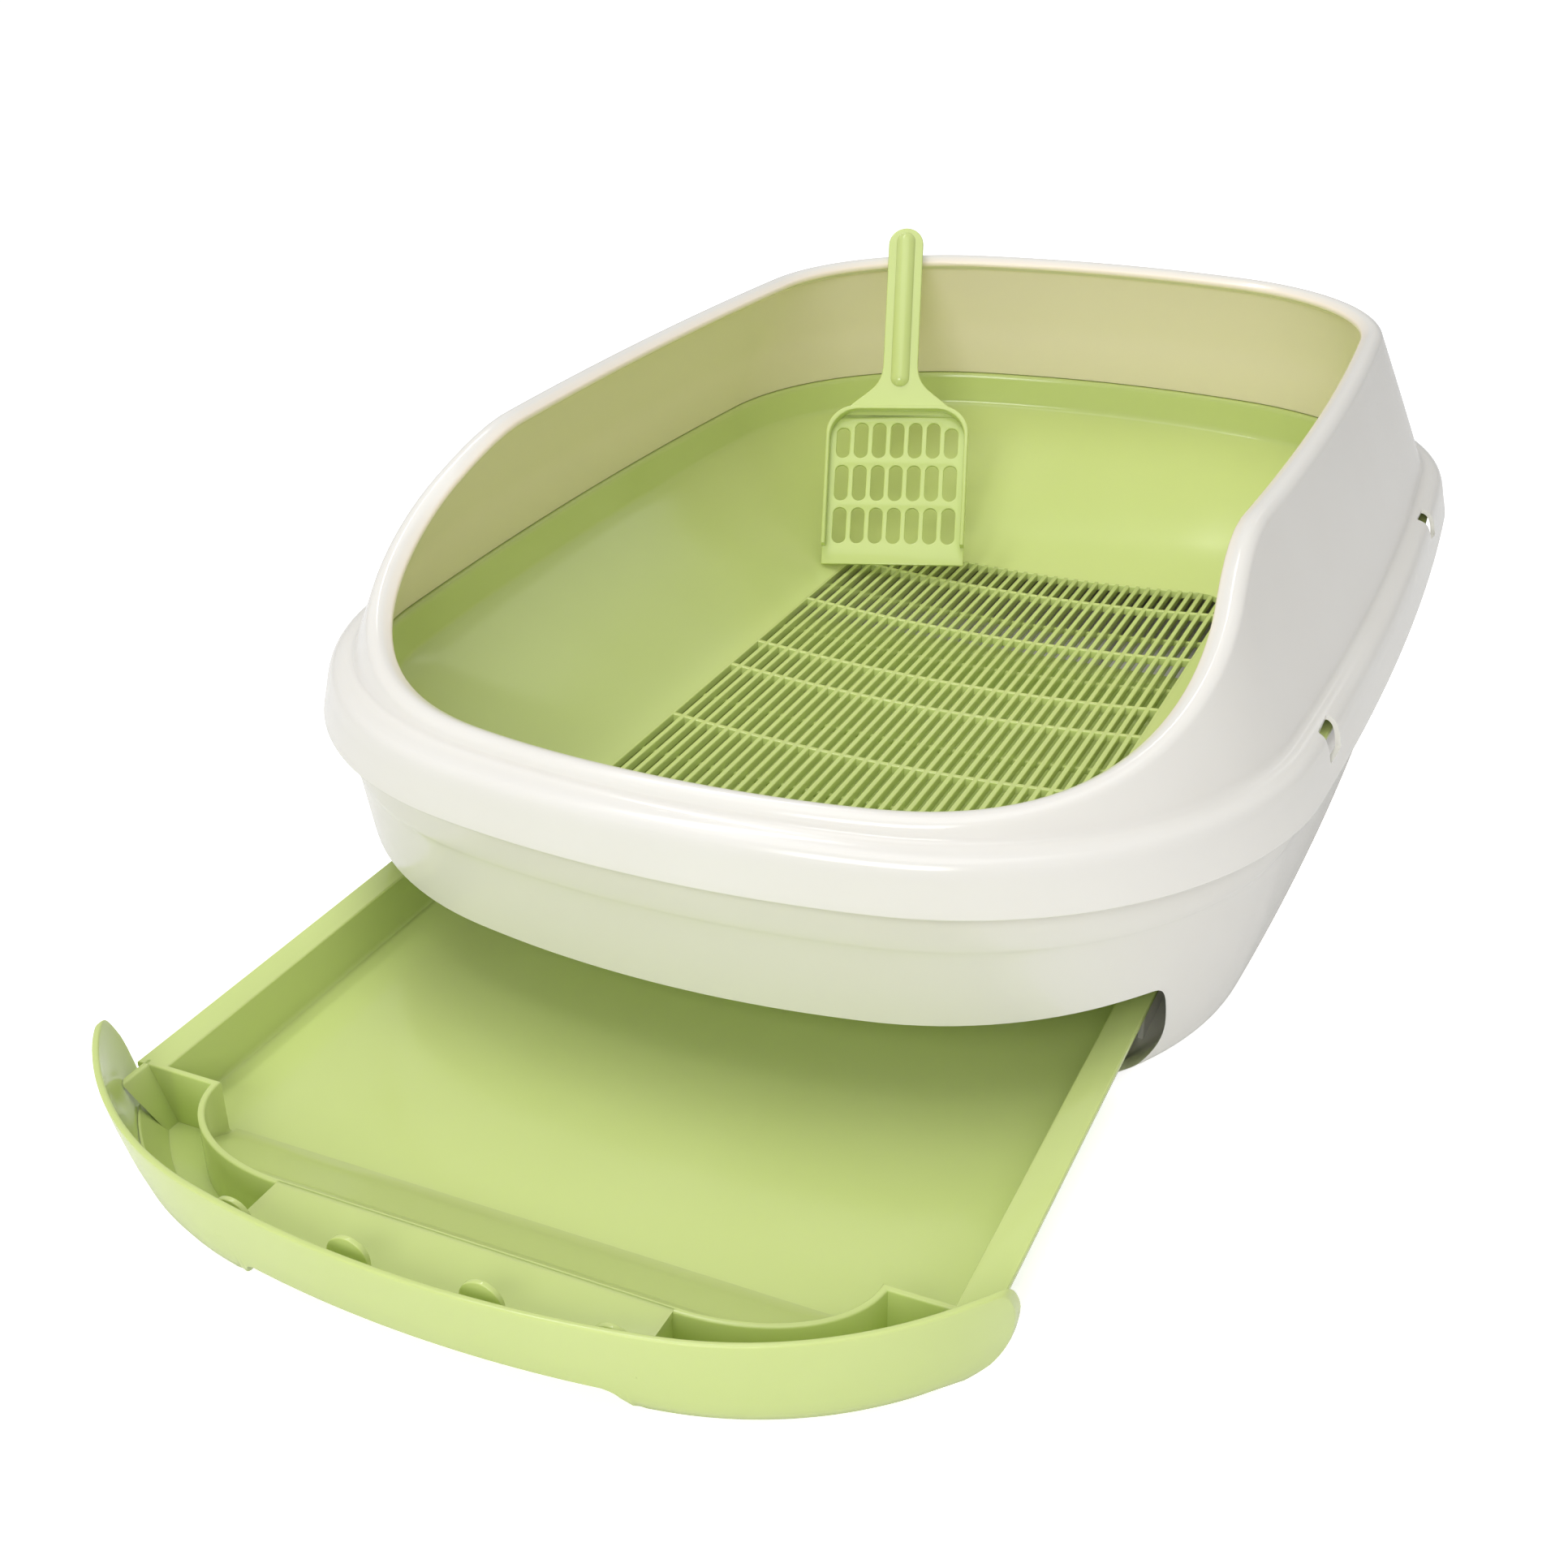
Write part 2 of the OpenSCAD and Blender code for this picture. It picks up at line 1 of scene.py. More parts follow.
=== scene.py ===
"""Looks of the drawer litter box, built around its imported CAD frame.

Sizes are in millimetres unless a name says otherwise, and meshes are written
in metres. X is to the right, Y to the back and Z up, as in the frame.
"""

import logging
import math
from dataclasses import dataclass, field
from enum import Enum
from typing import Any, Sequence

import bmesh
import bpy
import numpy as np
from mathutils import Matrix, Vector


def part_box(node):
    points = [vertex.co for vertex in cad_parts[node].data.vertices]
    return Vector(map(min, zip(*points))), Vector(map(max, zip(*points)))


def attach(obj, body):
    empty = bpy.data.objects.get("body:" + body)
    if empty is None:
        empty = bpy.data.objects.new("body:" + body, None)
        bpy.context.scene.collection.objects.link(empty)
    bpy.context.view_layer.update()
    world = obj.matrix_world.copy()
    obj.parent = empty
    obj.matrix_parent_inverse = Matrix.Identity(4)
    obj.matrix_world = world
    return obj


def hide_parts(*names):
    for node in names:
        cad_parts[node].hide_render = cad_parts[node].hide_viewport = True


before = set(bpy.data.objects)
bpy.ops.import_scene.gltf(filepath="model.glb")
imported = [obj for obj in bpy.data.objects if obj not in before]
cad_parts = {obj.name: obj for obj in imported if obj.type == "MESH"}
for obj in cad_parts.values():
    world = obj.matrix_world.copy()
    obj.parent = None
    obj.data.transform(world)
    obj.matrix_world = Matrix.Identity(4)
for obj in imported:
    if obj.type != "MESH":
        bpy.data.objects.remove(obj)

MM = 0.001
# Name of the mesh attribute that sets how much painted bounce light a face gets: a warmer tone that
# stands in for light thrown from the green basin.
PAINTED_BOUNCE_ATTRIBUTE = "inside"
SHARP_DEGREES = 38.0
CORNER_STEPS = 4
MIRROR = np.array([-1.0, 1.0])
LOG = logging.getLogger("litter_box")

Thing = bpy.types.Object
Finish = bpy.types.Material
Tree = bpy.types.NodeTree
Socket = bpy.types.NodeSocket
Inputs = dict[str | int, Any]
Triple = tuple[float, float, float]


def tub_place() -> Matrix:
    """Returns the move from the tub's own centre, where pieces are drawn, to its place."""
    low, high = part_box("splash_guard")
    return Matrix.Translation((0.0, (low[1] + high[1]) / 2, 0.0))


class Body(Enum):
    """The moving bodies of the frame."""

    TUB = "tub"
    BASIN = "basin"
    GUARD = "guard"
    DRAWER = "drawer"
    SCOOP = "scoop"


class Slot(Enum):
    """The record's material slots, apart from the pads', which the frame has set."""

    WHITE = "white_shell"
    GREEN = "green_shell"


# ---- Materials


def linear_colour(code: str) -> tuple[float, float, float, float]:
    """Turns an sRGB hex code into the linear colour that shaders take.

    Args:
        code: Six hex digits.

    Returns:
        Linear red, green, blue and an alpha of 1.
    """
    parts = [int(code[i : i + 2], 16) / 255 for i in (0, 2, 4)]
    linear = [c / 12.92 if c <= 0.04045 else ((c + 0.055) / 1.055) ** 2.4 for c in parts]
    return (linear[0], linear[1], linear[2], 1.0)


def add_node(tree: Tree, kind: str, inputs: Inputs | None = None, **settings: Any) -> bpy.types.Node:
    """Adds a node with its settings, values and links.

    Args:
        tree: The node tree that gets the node.
        kind: The node's type name.
        inputs: A value, or an output socket to link, for each input by name or number.
        **settings: Properties of the node itself.

    Returns:
        The new node.
    """
    node = tree.nodes.new(kind)
    for name, value in settings.items():
        setattr(node, name, value)
    for key, value in (inputs or {}).items():
        if isinstance(value, bpy.types.NodeSocket):
            tree.links.new(value, node.inputs[key])
        else:
            node.inputs[key].default_value = value
    return node


def new_material(name: str) -> tuple[Finish, Tree, Socket]:
    """Makes an empty node material.

    Args:
        name: Its name.

    Returns:
        The material, its tree and the object coordinates, in metres.
    """
    material = bpy.data.materials.new(name)
    material.use_nodes = True
    tree = material.node_tree
    tree.nodes.clear()
    return material, tree, add_node(tree, "ShaderNodeTexCoord").outputs["Object"]


@dataclass(frozen=True)
class MouldedPolypropylene:
    """Glossy injection-moulded polypropylene.

    It reads as a soft waxy shine with slightly wavy reflections, where the thick
    and thin parts of the wall shrank by different amounts as they cooled. Faces
    that the attribute picks out get painted bounce light: a warmer tone in their
    colour that stands in for the light the green basin throws onto them.
    The grain from the mould's polish is too fine to show, so it is drawn as coarse
    as it needs to be.
    """

    name: str
    colour: str
    shade: str
    deep: str
    # Painted bounce light: the warm colour that inward faces take in place of light thrown onto them from
    # the green basin.
    inside: str
    roughness: float = 0.16
    polish: tuple[float, float] = (0.8, 1.25)
    refraction: float = 1.49
    translucence: float = 0.1
    light_depth: float = 4.0
    wave: float = 70.0
    wave_depth: float = 0.05
    grain: float = 1.1
    grain_depth: float = 0.0025
    grain_strength: float = 0.6

    def build(self) -> Finish:
        """Makes the material.

        Returns:
            The finished material.
        """
        material, tree, place = new_material(self.name)
        flow = add_node(
            tree,
            "ShaderNodeTexNoise",
            {"Vector": place, "Scale": 1 / (self.wave * MM), "Detail": 2.0, "Roughness": 0.45},
        ).outputs["Fac"]
        grain = add_node(
            tree,
            "ShaderNodeTexNoise",
            {"Vector": place, "Scale": 1 / (self.grain * MM), "Detail": 2.0, "Roughness": 0.5},
        ).outputs["Fac"]
        tone = add_node(
            tree,
            "ShaderNodeMix",
            {"Factor": flow, "A": linear_colour(self.shade), "B": linear_colour(self.colour)},
            data_type="RGBA",
        )
        # Painted bounce light: the attribute mixes the inside colour over the tone.
        painted_bounce_mask = add_node(tree, "ShaderNodeAttribute", attribute_name=PAINTED_BOUNCE_ATTRIBUTE)
        body = add_node(
            tree,
            "ShaderNodeMix",
            {
                "Factor": painted_bounce_mask.outputs["Fac"],
                "A": tone.outputs["Result"],
                "B": linear_colour(self.inside),
            },
            data_type="RGBA",
        )
        low, high = (self.roughness * share for share in self.polish)
        dull = add_node(tree, "ShaderNodeMapRange", {"Value": grain, "To Min": low, "To Max": high})
        fine = add_node(
            tree,
            "ShaderNodeBump",
            {"Height": grain, "Distance": self.grain_depth * MM, "Strength": self.grain_strength},
        )
        wavy = add_node(
            tree,
            "ShaderNodeBump",
            {
                "Height": flow,
                "Distance": self.wave_depth * MM,
                "Strength": 1.0,
                "Normal": fine.outputs["Normal"],
            },
        )
        skin = add_node(
            tree,
            "ShaderNodeBsdfPrincipled",
            {
                "Base Color": body.outputs["Result"],
                "Roughness": dull.outputs["Result"],
                "IOR": self.refraction,
                "Normal": wavy.outputs["Normal"],
                "Subsurface Weight": self.translucence,
                "Subsurface Radius": linear_colour(self.deep)[:3],
                "Subsurface Scale": self.light_depth * MM,
            },
        )
        add_node(tree, "ShaderNodeOutputMaterial", {"Surface": skin.outputs["BSDF"]})
        return material


@dataclass(frozen=True)
class MouldedRubber:
    """Matt moulded rubber, which reads as a dry skin with a fine even grain.

    The real grain is too fine to show, so it is drawn as coarse as it needs to be.
    """

    name: str = "rubber_moulded"
    colour: str = "8C8C88"
    dust: str = "A3A29D"
    roughness: float = 0.72
    refraction: float = 1.52
    grain: float = 0.6
    grain_depth: float = 0.05
    grain_strength: float = 0.8

    def build(self) -> Finish:
        """Makes the material.

        Returns:
            The finished material.
        """
        material, tree, place = new_material(self.name)
        grain = add_node(
            tree,
            "ShaderNodeTexNoise",
            {"Vector": place, "Scale": 1 / (self.grain * MM), "Detail": 3.0},
        ).outputs["Fac"]
        tone = add_node(
            tree,
            "ShaderNodeMix",
            {"Factor": grain, "A": linear_colour(self.colour), "B": linear_colour(self.dust)},
            data_type="RGBA",
        )
        rough = add_node(
            tree,
            "ShaderNodeBump",
            {"Height": grain, "Distance": self.grain_depth * MM, "Strength": self.grain_strength},
        )
        skin = add_node(
            tree,
            "ShaderNodeBsdfPrincipled",
            {
                "Base Color": tone.outputs["Result"],
                "Roughness": self.roughness,
                "IOR": self.refraction,
                "Normal": rough.outputs["Normal"],
            },
        )
        add_node(tree, "ShaderNodeOutputMaterial", {"Surface": skin.outputs["BSDF"]})
        return material


@dataclass(frozen=True)
class Palette:
    """The three finishes that the pieces share."""

    white: Finish
    green: Finish
    rubber: Finish

    @staticmethod
    def build() -> "Palette":
        """Makes each material once.

        Returns:
            The palette.
        """
        # The white's inside colour is painted bounce light, a warm tone for the guard's inner walls.
        white = MouldedPolypropylene(
            "polypropylene_moulded_white", colour="EFEDE7", shade="E9E6DF", deep="FFF3DC", inside="FFF1DE"
        )
        green = MouldedPolypropylene(
            "polypropylene_moulded_green",
            colour="D1DF92",
            shade="CBDA88",
            deep="DCE9A0",
            inside="CBDA88",
            translucence=0.15,
        )
        return Palette(white.build(), green.build(), MouldedRubber().build())


# ---- Plan outline and profiles


@dataclass(frozen=True)
class Track:
    """A closed line in plan, and the way that each of its points moves outwards."""

    points: np.ndarray
    outward: np.ndarray

    def sweep(self, section: np.ndarray) -> np.ndarray:
        """Carries a profile along the line.

        Args:
            section: (steps, columns or 1, 2) distances outwards and heights.

        Returns:
            (steps, columns, 3) points.
        """
        out = np.broadcast_to(section, (section.shape[0], len(self.points), 2))
        flat = self.points[None] + self.outward[None] * out[:, :, :1]
        return np.concatenate([flat, out[:, :, 1:]], axis=2)


def arc(
    centre: Any, radius: float, start: float, end: float, steps: int
) -> tuple[np.ndarray, np.ndarray]:
    """Points of an arc, without its last one.

    Args:
        centre: Its centre.
        radius: Its radius.
        start: Its first angle, in radians.
        end: Its last angle, in radians.
        steps: How many points.

    Returns:
        The points, and the directions away from the centre.
    """
    angles = np.linspace(start, end, steps, endpoint=False)
    away = np.stack([np.cos(angles), np.sin(angles)], axis=1)
    return np.asarray(centre) + radius * away, away


@dataclass(frozen=True)
class Outline:
    """Plan of the skirt: side, corner and end arcs that are tangent to each other."""

    half_w: float = 210.0
    half_l: float = 308.0
    end_r: float = 446.0
    corner_r: float = 150.0
    side_r: float = 2400.0
    side_steps: int = 18
    corner_steps: int = 30
    end_steps: int = 14

    @property
    def end_centre(self) -> np.ndarray:
        """Centre of the back end's arc."""
        return np.array([0.0, self.half_l - self.end_r])

    @property
    def side_centre(self) -> np.ndarray:
        """Centre of the right side's arc."""
        return np.array([self.half_w - self.side_r, 0.0])

    @property
    def corner_centre(self) -> np.ndarray:
        """Finds the centre of the back right corner's arc, which touches both others.

        Returns:
            Its place.
        """
        gap = self.end_centre - self.side_centre
        length = float(np.linalg.norm(gap))
        way = gap / length
        side_gap, end_gap = self.side_r - self.corner_r, self.end_r - self.corner_r
        along = (side_gap**2 - end_gap**2 + length**2) / (2 * length)
        across = math.sqrt(side_gap**2 - along**2)
        return self.side_centre + along * way + across * np.array([-way[1], way[0]])

    def track(self) -> Track:
        """Makes the outline as a closed line, counter-clockwise from +X.

        Returns:
            The line.
        """
        corner, side, end = self.corner_centre, self.side_centre, self.end_centre
        side_a = math.atan2(corner[1] - side[1], corner[0] - side[0])
        end_a = math.atan2(corner[1] - end[1], corner[0] - end[0])
        parts = [
            arc(side, self.side_r, 0.0, side_a, self.side_steps),
            arc(corner, self.corner_r, side_a, end_a, self.corner_steps),
            arc(end, self.end_r, end_a, math.pi / 2, self.end_steps),
        ]
        points, away = (np.concatenate(kind) for kind in zip(*parts))
        return Track(self._mirrored(points, self.half_l), self._mirrored(away, 1.0))

    @staticmethod
    def _mirrored(quarter: np.ndarray, top: float) -> np.ndarray:
        """Completes a quarter, from the +X axis to a top on the +Y axis, into the whole line."""
        half = np.concatenate([quarter, [[0.0, top]], quarter[:0:-1] * MIRROR])
        return np.concatenate([half, -half])

    def end_y(self, x: np.ndarray | float, inset: np.ndarray | float) -> np.ndarray:
        """How far out the end of the outline lies.

        Args:
            x: Places across the outline.
            inset: How far the outline is moved inwards there.

        Returns:
            The distance from the middle, along Y.
        """
        across, deep = np.abs(np.asarray(x, float)), np.asarray(inset, float)
        corner, end = self.corner_centre, self.end_centre
        bend = math.atan2(corner[1] - end[1], corner[0] - end[0])
        on_end = np.maximum((self.end_r - deep) ** 2 - across**2, 0.0)
        on_corner = np.maximum((self.corner_r - deep) ** 2 - (across - corner[0]) ** 2, 0.0)
        past = across >= (self.end_r - deep) * math.cos(bend)
        return np.where(past, corner[1] + np.sqrt(on_corner), end[1] + np.sqrt(on_end))


def rounded(corners: Any, cuts: Sequence[float], steps: int = CORNER_STEPS) -> np.ndarray:
    """Rounds each corner of closed profiles with a quadratic curve.

    Args:
        corners: (corners, columns, 2) points, one profile per column.
        cuts: How far from each corner its curve starts.
        steps: Segments in each curve.

    Returns:
        (corners * (steps + 1), columns, 2) points.
    """
    corners = np.asarray(corners, float)
    ends = []
    for way in (1, -1):
        gap = np.roll(corners, way, axis=0) - corners
        length = np.maximum(np.linalg.norm(gap, axis=2, keepdims=True), 1e-9)
        reach = np.minimum(np.asarray(cuts, float)[:, None, None], 0.49 * length)
        ends.append(corners + gap / length * reach)
    share = np.linspace(0.0, 1.0, steps + 1)[:, None, None, None]
    left = 1 - share
    curve = left**2 * ends[0] + 2 * share * left * corners + share**2 * ends[1]
    return curve.transpose(1, 0, 2, 3).reshape(-1, corners.shape[1], 2)


def rounded_line(corners: Any, cuts: Sequence[float], steps: int = 3) -> np.ndarray:
    """Returns one closed (corners, 2) line with its corners rounded."""
    return rounded(np.asarray(corners, float)[:, None], cuts, steps)[:, 0]


def rounded_rows(rows: Sequence[tuple[Any, Any, float]]) -> np.ndarray:
    """Makes a rounded profile, with one column or one for each point of a track.

    Args:
        rows: Inset, height and cut of each corner.

    Returns:
        (points, columns, 2) distances outwards and heights.
    """
    corners = [np.stack(np.broadcast_arrays(-np.atleast_1d(inset), z), axis=1) for inset, z, _ in rows]
    return rounded(np.stack(corners), [cut for _, _, cut in rows])


# ---- Meshes


@dataclass
class Draft:
    """Closed surfaces gathered for one piece, in millimetres."""

    points: list[np.ndarray] = field(default_factory=list)
    faces: list[tuple[int, ...]] = field(default_factory=list)
    count: int = 0

    def grid(self, rows: Any, wrap_rows: bool = False) -> "Draft":
        """Adds a tube of quads, with flat ends where its rows don't wrap.

        Args:
            rows: (rows, columns, 3) points.
            wrap_rows: Whether the last row joins the first.

        Returns:
            The draft itself.
        """
        grid = np.asarray(rows)
        height, width = grid.shape[:2]
        index = self.count + np.arange(height * width).reshape(height, width)
        for i in range(height if wrap_rows else height - 1):
            low, high = index[i], index[(i + 1) % height]
            for j in range(width):
                k = (j + 1) % width
                self.faces.append((low[j], low[k], high[k], high[j]))
        if not wrap_rows:
            self.faces += [tuple(index[0][::-1]), tuple(index[-1])]
        self.points.append(grid.reshape(-1, 3))
        self.count += height * width
        return self

    def bar(
        self, low: Triple, high: Triple, cut: float, along: int = 1, foot_cut: float | None = None
    ) -> None:
        """Adds a straight bar with rounded long edges and eased ends.

        Args:
            low: Its lowest corner.
            high: Its highest corner.
            cut: How far its upper edges are cut back.
            along: The axis that it runs along, 0, 1 or 2.
            foot_cut: How far its lower edges are cut back, or as the upper ones.
        """
        a, b = [k for k in range(3) if k != along]
        foot = cut if foot_cut is None else foot_cut
        ring = np.array([[low[a], low[b]], [high[a], low[b]], [high[a], high[b]], [low[a], high[b]]])
        section = rounded_line(ring, [foot, foot, cut, cut])
        middle = ring.mean(axis=0)
        size = np.maximum(ring.max(axis=0) - ring.min(axis=0), 1e-6)
        eases = ((0.0, 1.0), (0.3, 0.3), (1.0, 0.0))
        stations = [(low[along] + run * cut, shrink * cut) for run, shrink in eases]
        stations += [(high[along] - run * cut, shrink * cut) for run, shrink in reversed(eases)]
        rows = np.empty((len(stations), len(section), 3))
        for row, (place, shrink) in zip(rows, stations):
            row[:, [a, b]] = middle + (section - middle) * (1 - 2 * shrink / size)
            row[:, along] = place
        self.grid(rows)

    def build(self, name: str, material: Finish | None = None) -> Thing:
        """Makes the piece.

        Args:
            name: Its name.
            material: Its finish.

        Returns:
            The object, at the origin, with its place in its mesh.
        """
        mesh = bpy.data.meshes.new(name)
        points = np.concatenate(self.points) * MM
        mesh.from_pydata(points.tolist(), [], [tuple(int(i) for i in f) for f in self.faces])
        if material:
            mesh.materials.append(material)
        piece = linked(name, mesh)
        settle(piece)
        return piece


def linked(name: str, data: bpy.types.ID) -> Thing:
    """Makes an object of a mesh, curve, light or camera and puts it in the scene.

    Args:
        name: Its name.
        data: What it shows.

    Returns:
        The object.
    """
    thing = bpy.data.objects.new(name, data)
    bpy.context.scene.collection.objects.link(thing)
    return thing


def settle(piece: Thing) -> None:
    """Merges doubles, turns all faces outward and sets the shading.

    Args:
        piece: The object to settle.
    """
    work = bmesh.new()
    work.from_mesh(piece.data)
    bmesh.ops.remove_doubles(work, verts=work.verts, dist=2e-6)
    bmesh.ops.dissolve_degenerate(work, edges=work.edges, dist=1e-7)
    bmesh.ops.recalc_face_normals(work, faces=work.faces)
    work.to_mesh(piece.data)
    work.free()
    piece.data.polygons.foreach_set("use_smooth", [True] * len(piece.data.polygons))
    piece.data.set_sharp_from_angle(angle=math.radians(SHARP_DEGREES))
    piece.data.update()


def shown_mesh(thing: Thing) -> bpy.types.Mesh:
    """Makes a plain mesh of an object as its modifiers and bevels show it.

    Args:
        thing: The object.

    Returns:
        The new mesh.
    """
    graph = bpy.context.evaluated_depsgraph_get()
    graph.update()
    return bpy.data.meshes.new_from_object(thing.evaluated_get(graph), depsgraph=graph)


def bake(piece: Thing) -> None:
    """Turns a piece with modifiers into a plain mesh and removes them.

    Args:
        piece: The piece.
    """
    old = piece.data
    mesh = shown_mesh(piece)
    piece.modifiers.clear()
    piece.data = mesh
    mesh.name = piece.name
    if old.users == 0:
        bpy.data.meshes.remove(old)
    settle(piece)


def carve(piece: Thing, cutter: Thing) -> None:
    """Cuts one closed mesh out of another and removes the cutter.

    Args:
        piece: What is cut.
        cutter: What is taken away.
    """
    cut = piece.modifiers.new("carve", "BOOLEAN")
    cut.operation = "DIFFERENCE"
    cut.solver = "EXACT"
    cut.object = cutter
    bake(piece)
    bpy.data.objects.remove(cutter)


def extruded(
    name: str, lines: Sequence[np.ndarray], low: float, high: float, bevel: float, material: Finish
) -> Thing:
    """Makes a plate from a flat outline and its holes, with rounded edges.

    Args:
        name: Its name.
        lines: Closed lines of (x, y) points, the outline first.
        low: The lower face's height.
        high: The upper face's height.
        bevel: Radius of the rounding on every edge.
        material: Its finish.

    Returns:
        The plate, lying flat.
    """
    curve = bpy.data.curves.new(name, "CURVE")
    curve.dimensions = "2D"
    curve.fill_mode = "BOTH"
    curve.extrude = (high - low) / 2 * MM - bevel * MM
    curve.bevel_depth = bevel * MM
    curve.bevel_resolution = 2
    curve.offset = -bevel * MM
    for line in lines:
        spline = curve.splines.new("POLY")
        spline.points.add(len(line) - 1)
        for point, (x, y) in zip(spline.points, line):
            point.co = (x * MM, y * MM, 0.0, 1.0)
        spline.use_cyclic_u = True
    source = linked(name, curve)
    mesh = shown_mesh(source)
    bpy.data.objects.remove(source)
    bpy.data.curves.remove(curve)
    mesh.transform(Matrix.Translation((0.0, 0.0, (low + high) / 2 * MM)))
    mesh.materials.clear()
    mesh.materials.append(material)
    plate = linked(name, mesh)
    settle(plate)
    return plate


def joined(name: str, pieces: Sequence[Thing]) -> Thing:
    """Puts the meshes of several objects into one.

    Args:
        name: The joined object's name.
        pieces: The objects, the first of which stays.

    Returns:
        The joined object.
    """
    whole = pieces[0]
    work = bmesh.new()
    for piece in pieces:
        work.from_mesh(piece.data)
    work.to_mesh(whole.data)
    work.free()
    for piece in pieces[1:]:
        bpy.data.objects.remove(piece)
    whole.name = name
    whole.data.name = name
    whole.data.set_sharp_from_angle(angle=math.radians(SHARP_DEGREES))
    return whole


def hand_over(piece: Thing, body: Body, slot: Slot, *nodes: str) -> None:
    """Ties a finished piece to the frame.

    Args:
        piece: The object.
        body: The body that it moves with.
        slot: The record's material slot; not used.
        *nodes: The CAD nodes that it stands for.
    """
    piece.data.transform(tub_place())
    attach(piece, body.value)
    if nodes:
        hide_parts(*nodes)
    LOG.info("built %s on %s, %d faces", piece.name, body.value, len(piece.data.polygons))


# ---- Patterns


@dataclass(frozen=True)
class CopyTree:
    """Geometry nodes that set copies of a piece on a line or on given points.

    The copies sink with the dish: by the whole dip in the middle and by nothing
    at half the width.
    """

    name: str
    on_line: bool

    def build(self) -> bpy.types.GeometryNodeTree:
        """Makes the node tree.

        Returns:
            The tree, which ends in realized copies with their material.
        """
        tree = bpy.data.node_groups.new(self.name, "GeometryNodeTree")
        sockets = {
            "Geometry": "Geometry",
            "Piece": "Object",
            "Finish": "Material",
            "Count": "Int",
            "Pitch": "Float",
            "Dip": "Float",
            "Half Width": "Float",
        }
        for name, kind in sockets.items():
            tree.interface.new_socket(name, in_out="INPUT", socket_type="NodeSocket" + kind)
        tree.interface.new_socket("Geometry", in_out="OUTPUT", socket_type="NodeSocketGeometry")
        given = add_node(tree, "NodeGroupInput").outputs
        points = self._line(tree, given) if self.on_line else given["Geometry"]
        place = add_node(tree, "GeometryNodeInputPosition")
        across = add_node(tree, "ShaderNodeSeparateXYZ", {0: place.outputs[0]}).outputs["X"]
        parts = {0: across, 1: given["Half Width"]}
        share = add_node(tree, "ShaderNodeMath", parts, operation="DIVIDE").outputs[0]
        # The drop is (share * share - 1) * dip
        drop = share
        for operation, other in (("MULTIPLY", share), ("SUBTRACT", 1.0), ("MULTIPLY", given["Dip"])):
            drop = add_node(tree, "ShaderNodeMath", {0: drop, 1: other}, operation=operation).outputs[0]
        offset = add_node(tree, "ShaderNodeCombineXYZ", {"Z": drop})
        sunk = add_node(
            tree, "GeometryNodeSetPosition", {"Geometry": points, "Offset": offset.outputs[0]}
        )
        info = add_node(tree, "GeometryNodeObjectInfo", {"Object": given["Piece"]})
        placed = add_node(
            tree,
            "GeometryNodeInstanceOnPoints",
            {"Points": sunk.outputs[0], "Instance": info.outputs["Geometry"]},
        )
        real = add_node(tree, "GeometryNodeRealizeInstances", {"Geometry": placed.outputs[0]})
        dressed = add_node(
            tree,
            "GeometryNodeSetMaterial",
            {"Geometry": real.outputs[0], "Material": given["Finish"]},
        )
        add_node(tree, "NodeGroupOutput", {"Geometry": dressed.outputs[0]})
        return tree

    def _line(self, tree: Tree, given: bpy.types.NodeOutputs) -> Socket:
        """Adds the nodes of a line of points across the dish.

        Args:
            tree: The tree.
            given: The outputs of its group input.

        Returns:
            The line's geometry.
        """
        # The first point is at (count - 1) * pitch * -0.5
        first = given["Count"]
        for operation, other in (("SUBTRACT", 1.0), ("MULTIPLY", given["Pitch"]), ("MULTIPLY", -0.5)):
            first = add_node(tree, "ShaderNodeMath", {0: first, 1: other}, operation=operation).outputs[0]
        start, step = (
            add_node(tree, "ShaderNodeCombineXYZ", {"X": x}).outputs[0] for x in (first, given["Pitch"])
        )
        inputs = {"Count": given["Count"], "Start Location": start, "Offset": step}
        return add_node(tree, "GeometryNodeMeshLine", inputs).outputs["Mesh"]


def copies(
    name: str, tree: Tree, piece: Thing, finish: Finish, points: Any = None, **sizes: float
) -> Thing:
    """Runs a copy tree and bakes its result.

    Args:
        name: The result's name.
        tree: The tree.
        piece: The piece that is copied, which is removed afterwards.
        finish: The material of the copies.
        points: (copies, 3) places, for a tree that takes them.
        **sizes: The tree's other inputs, with a low line for each space.

    Returns:
        The copies as one plain object.
    """
    mesh = bpy.data.meshes.new(name)
    if points is not None:
        mesh.from_pydata((np.asarray(points, float) * MM).tolist(), [], [])
    host = linked(name, mesh)
    pattern = host.modifiers.new("copies", "NODES")
    pattern.node_group = tree
    values: dict[str, Any] = {k.replace("_", " "): v for k, v in sizes.items()}
    values.update({"piece": piece, "finish": finish})
    for item in tree.interface.items_tree:
        if item.in_out == "INPUT" and item.name.lower() in values:
            pattern[item.identifier] = values[item.name.lower()]
    bake(host)
    bpy.data.objects.remove(piece)
    return host


# ---- Tub


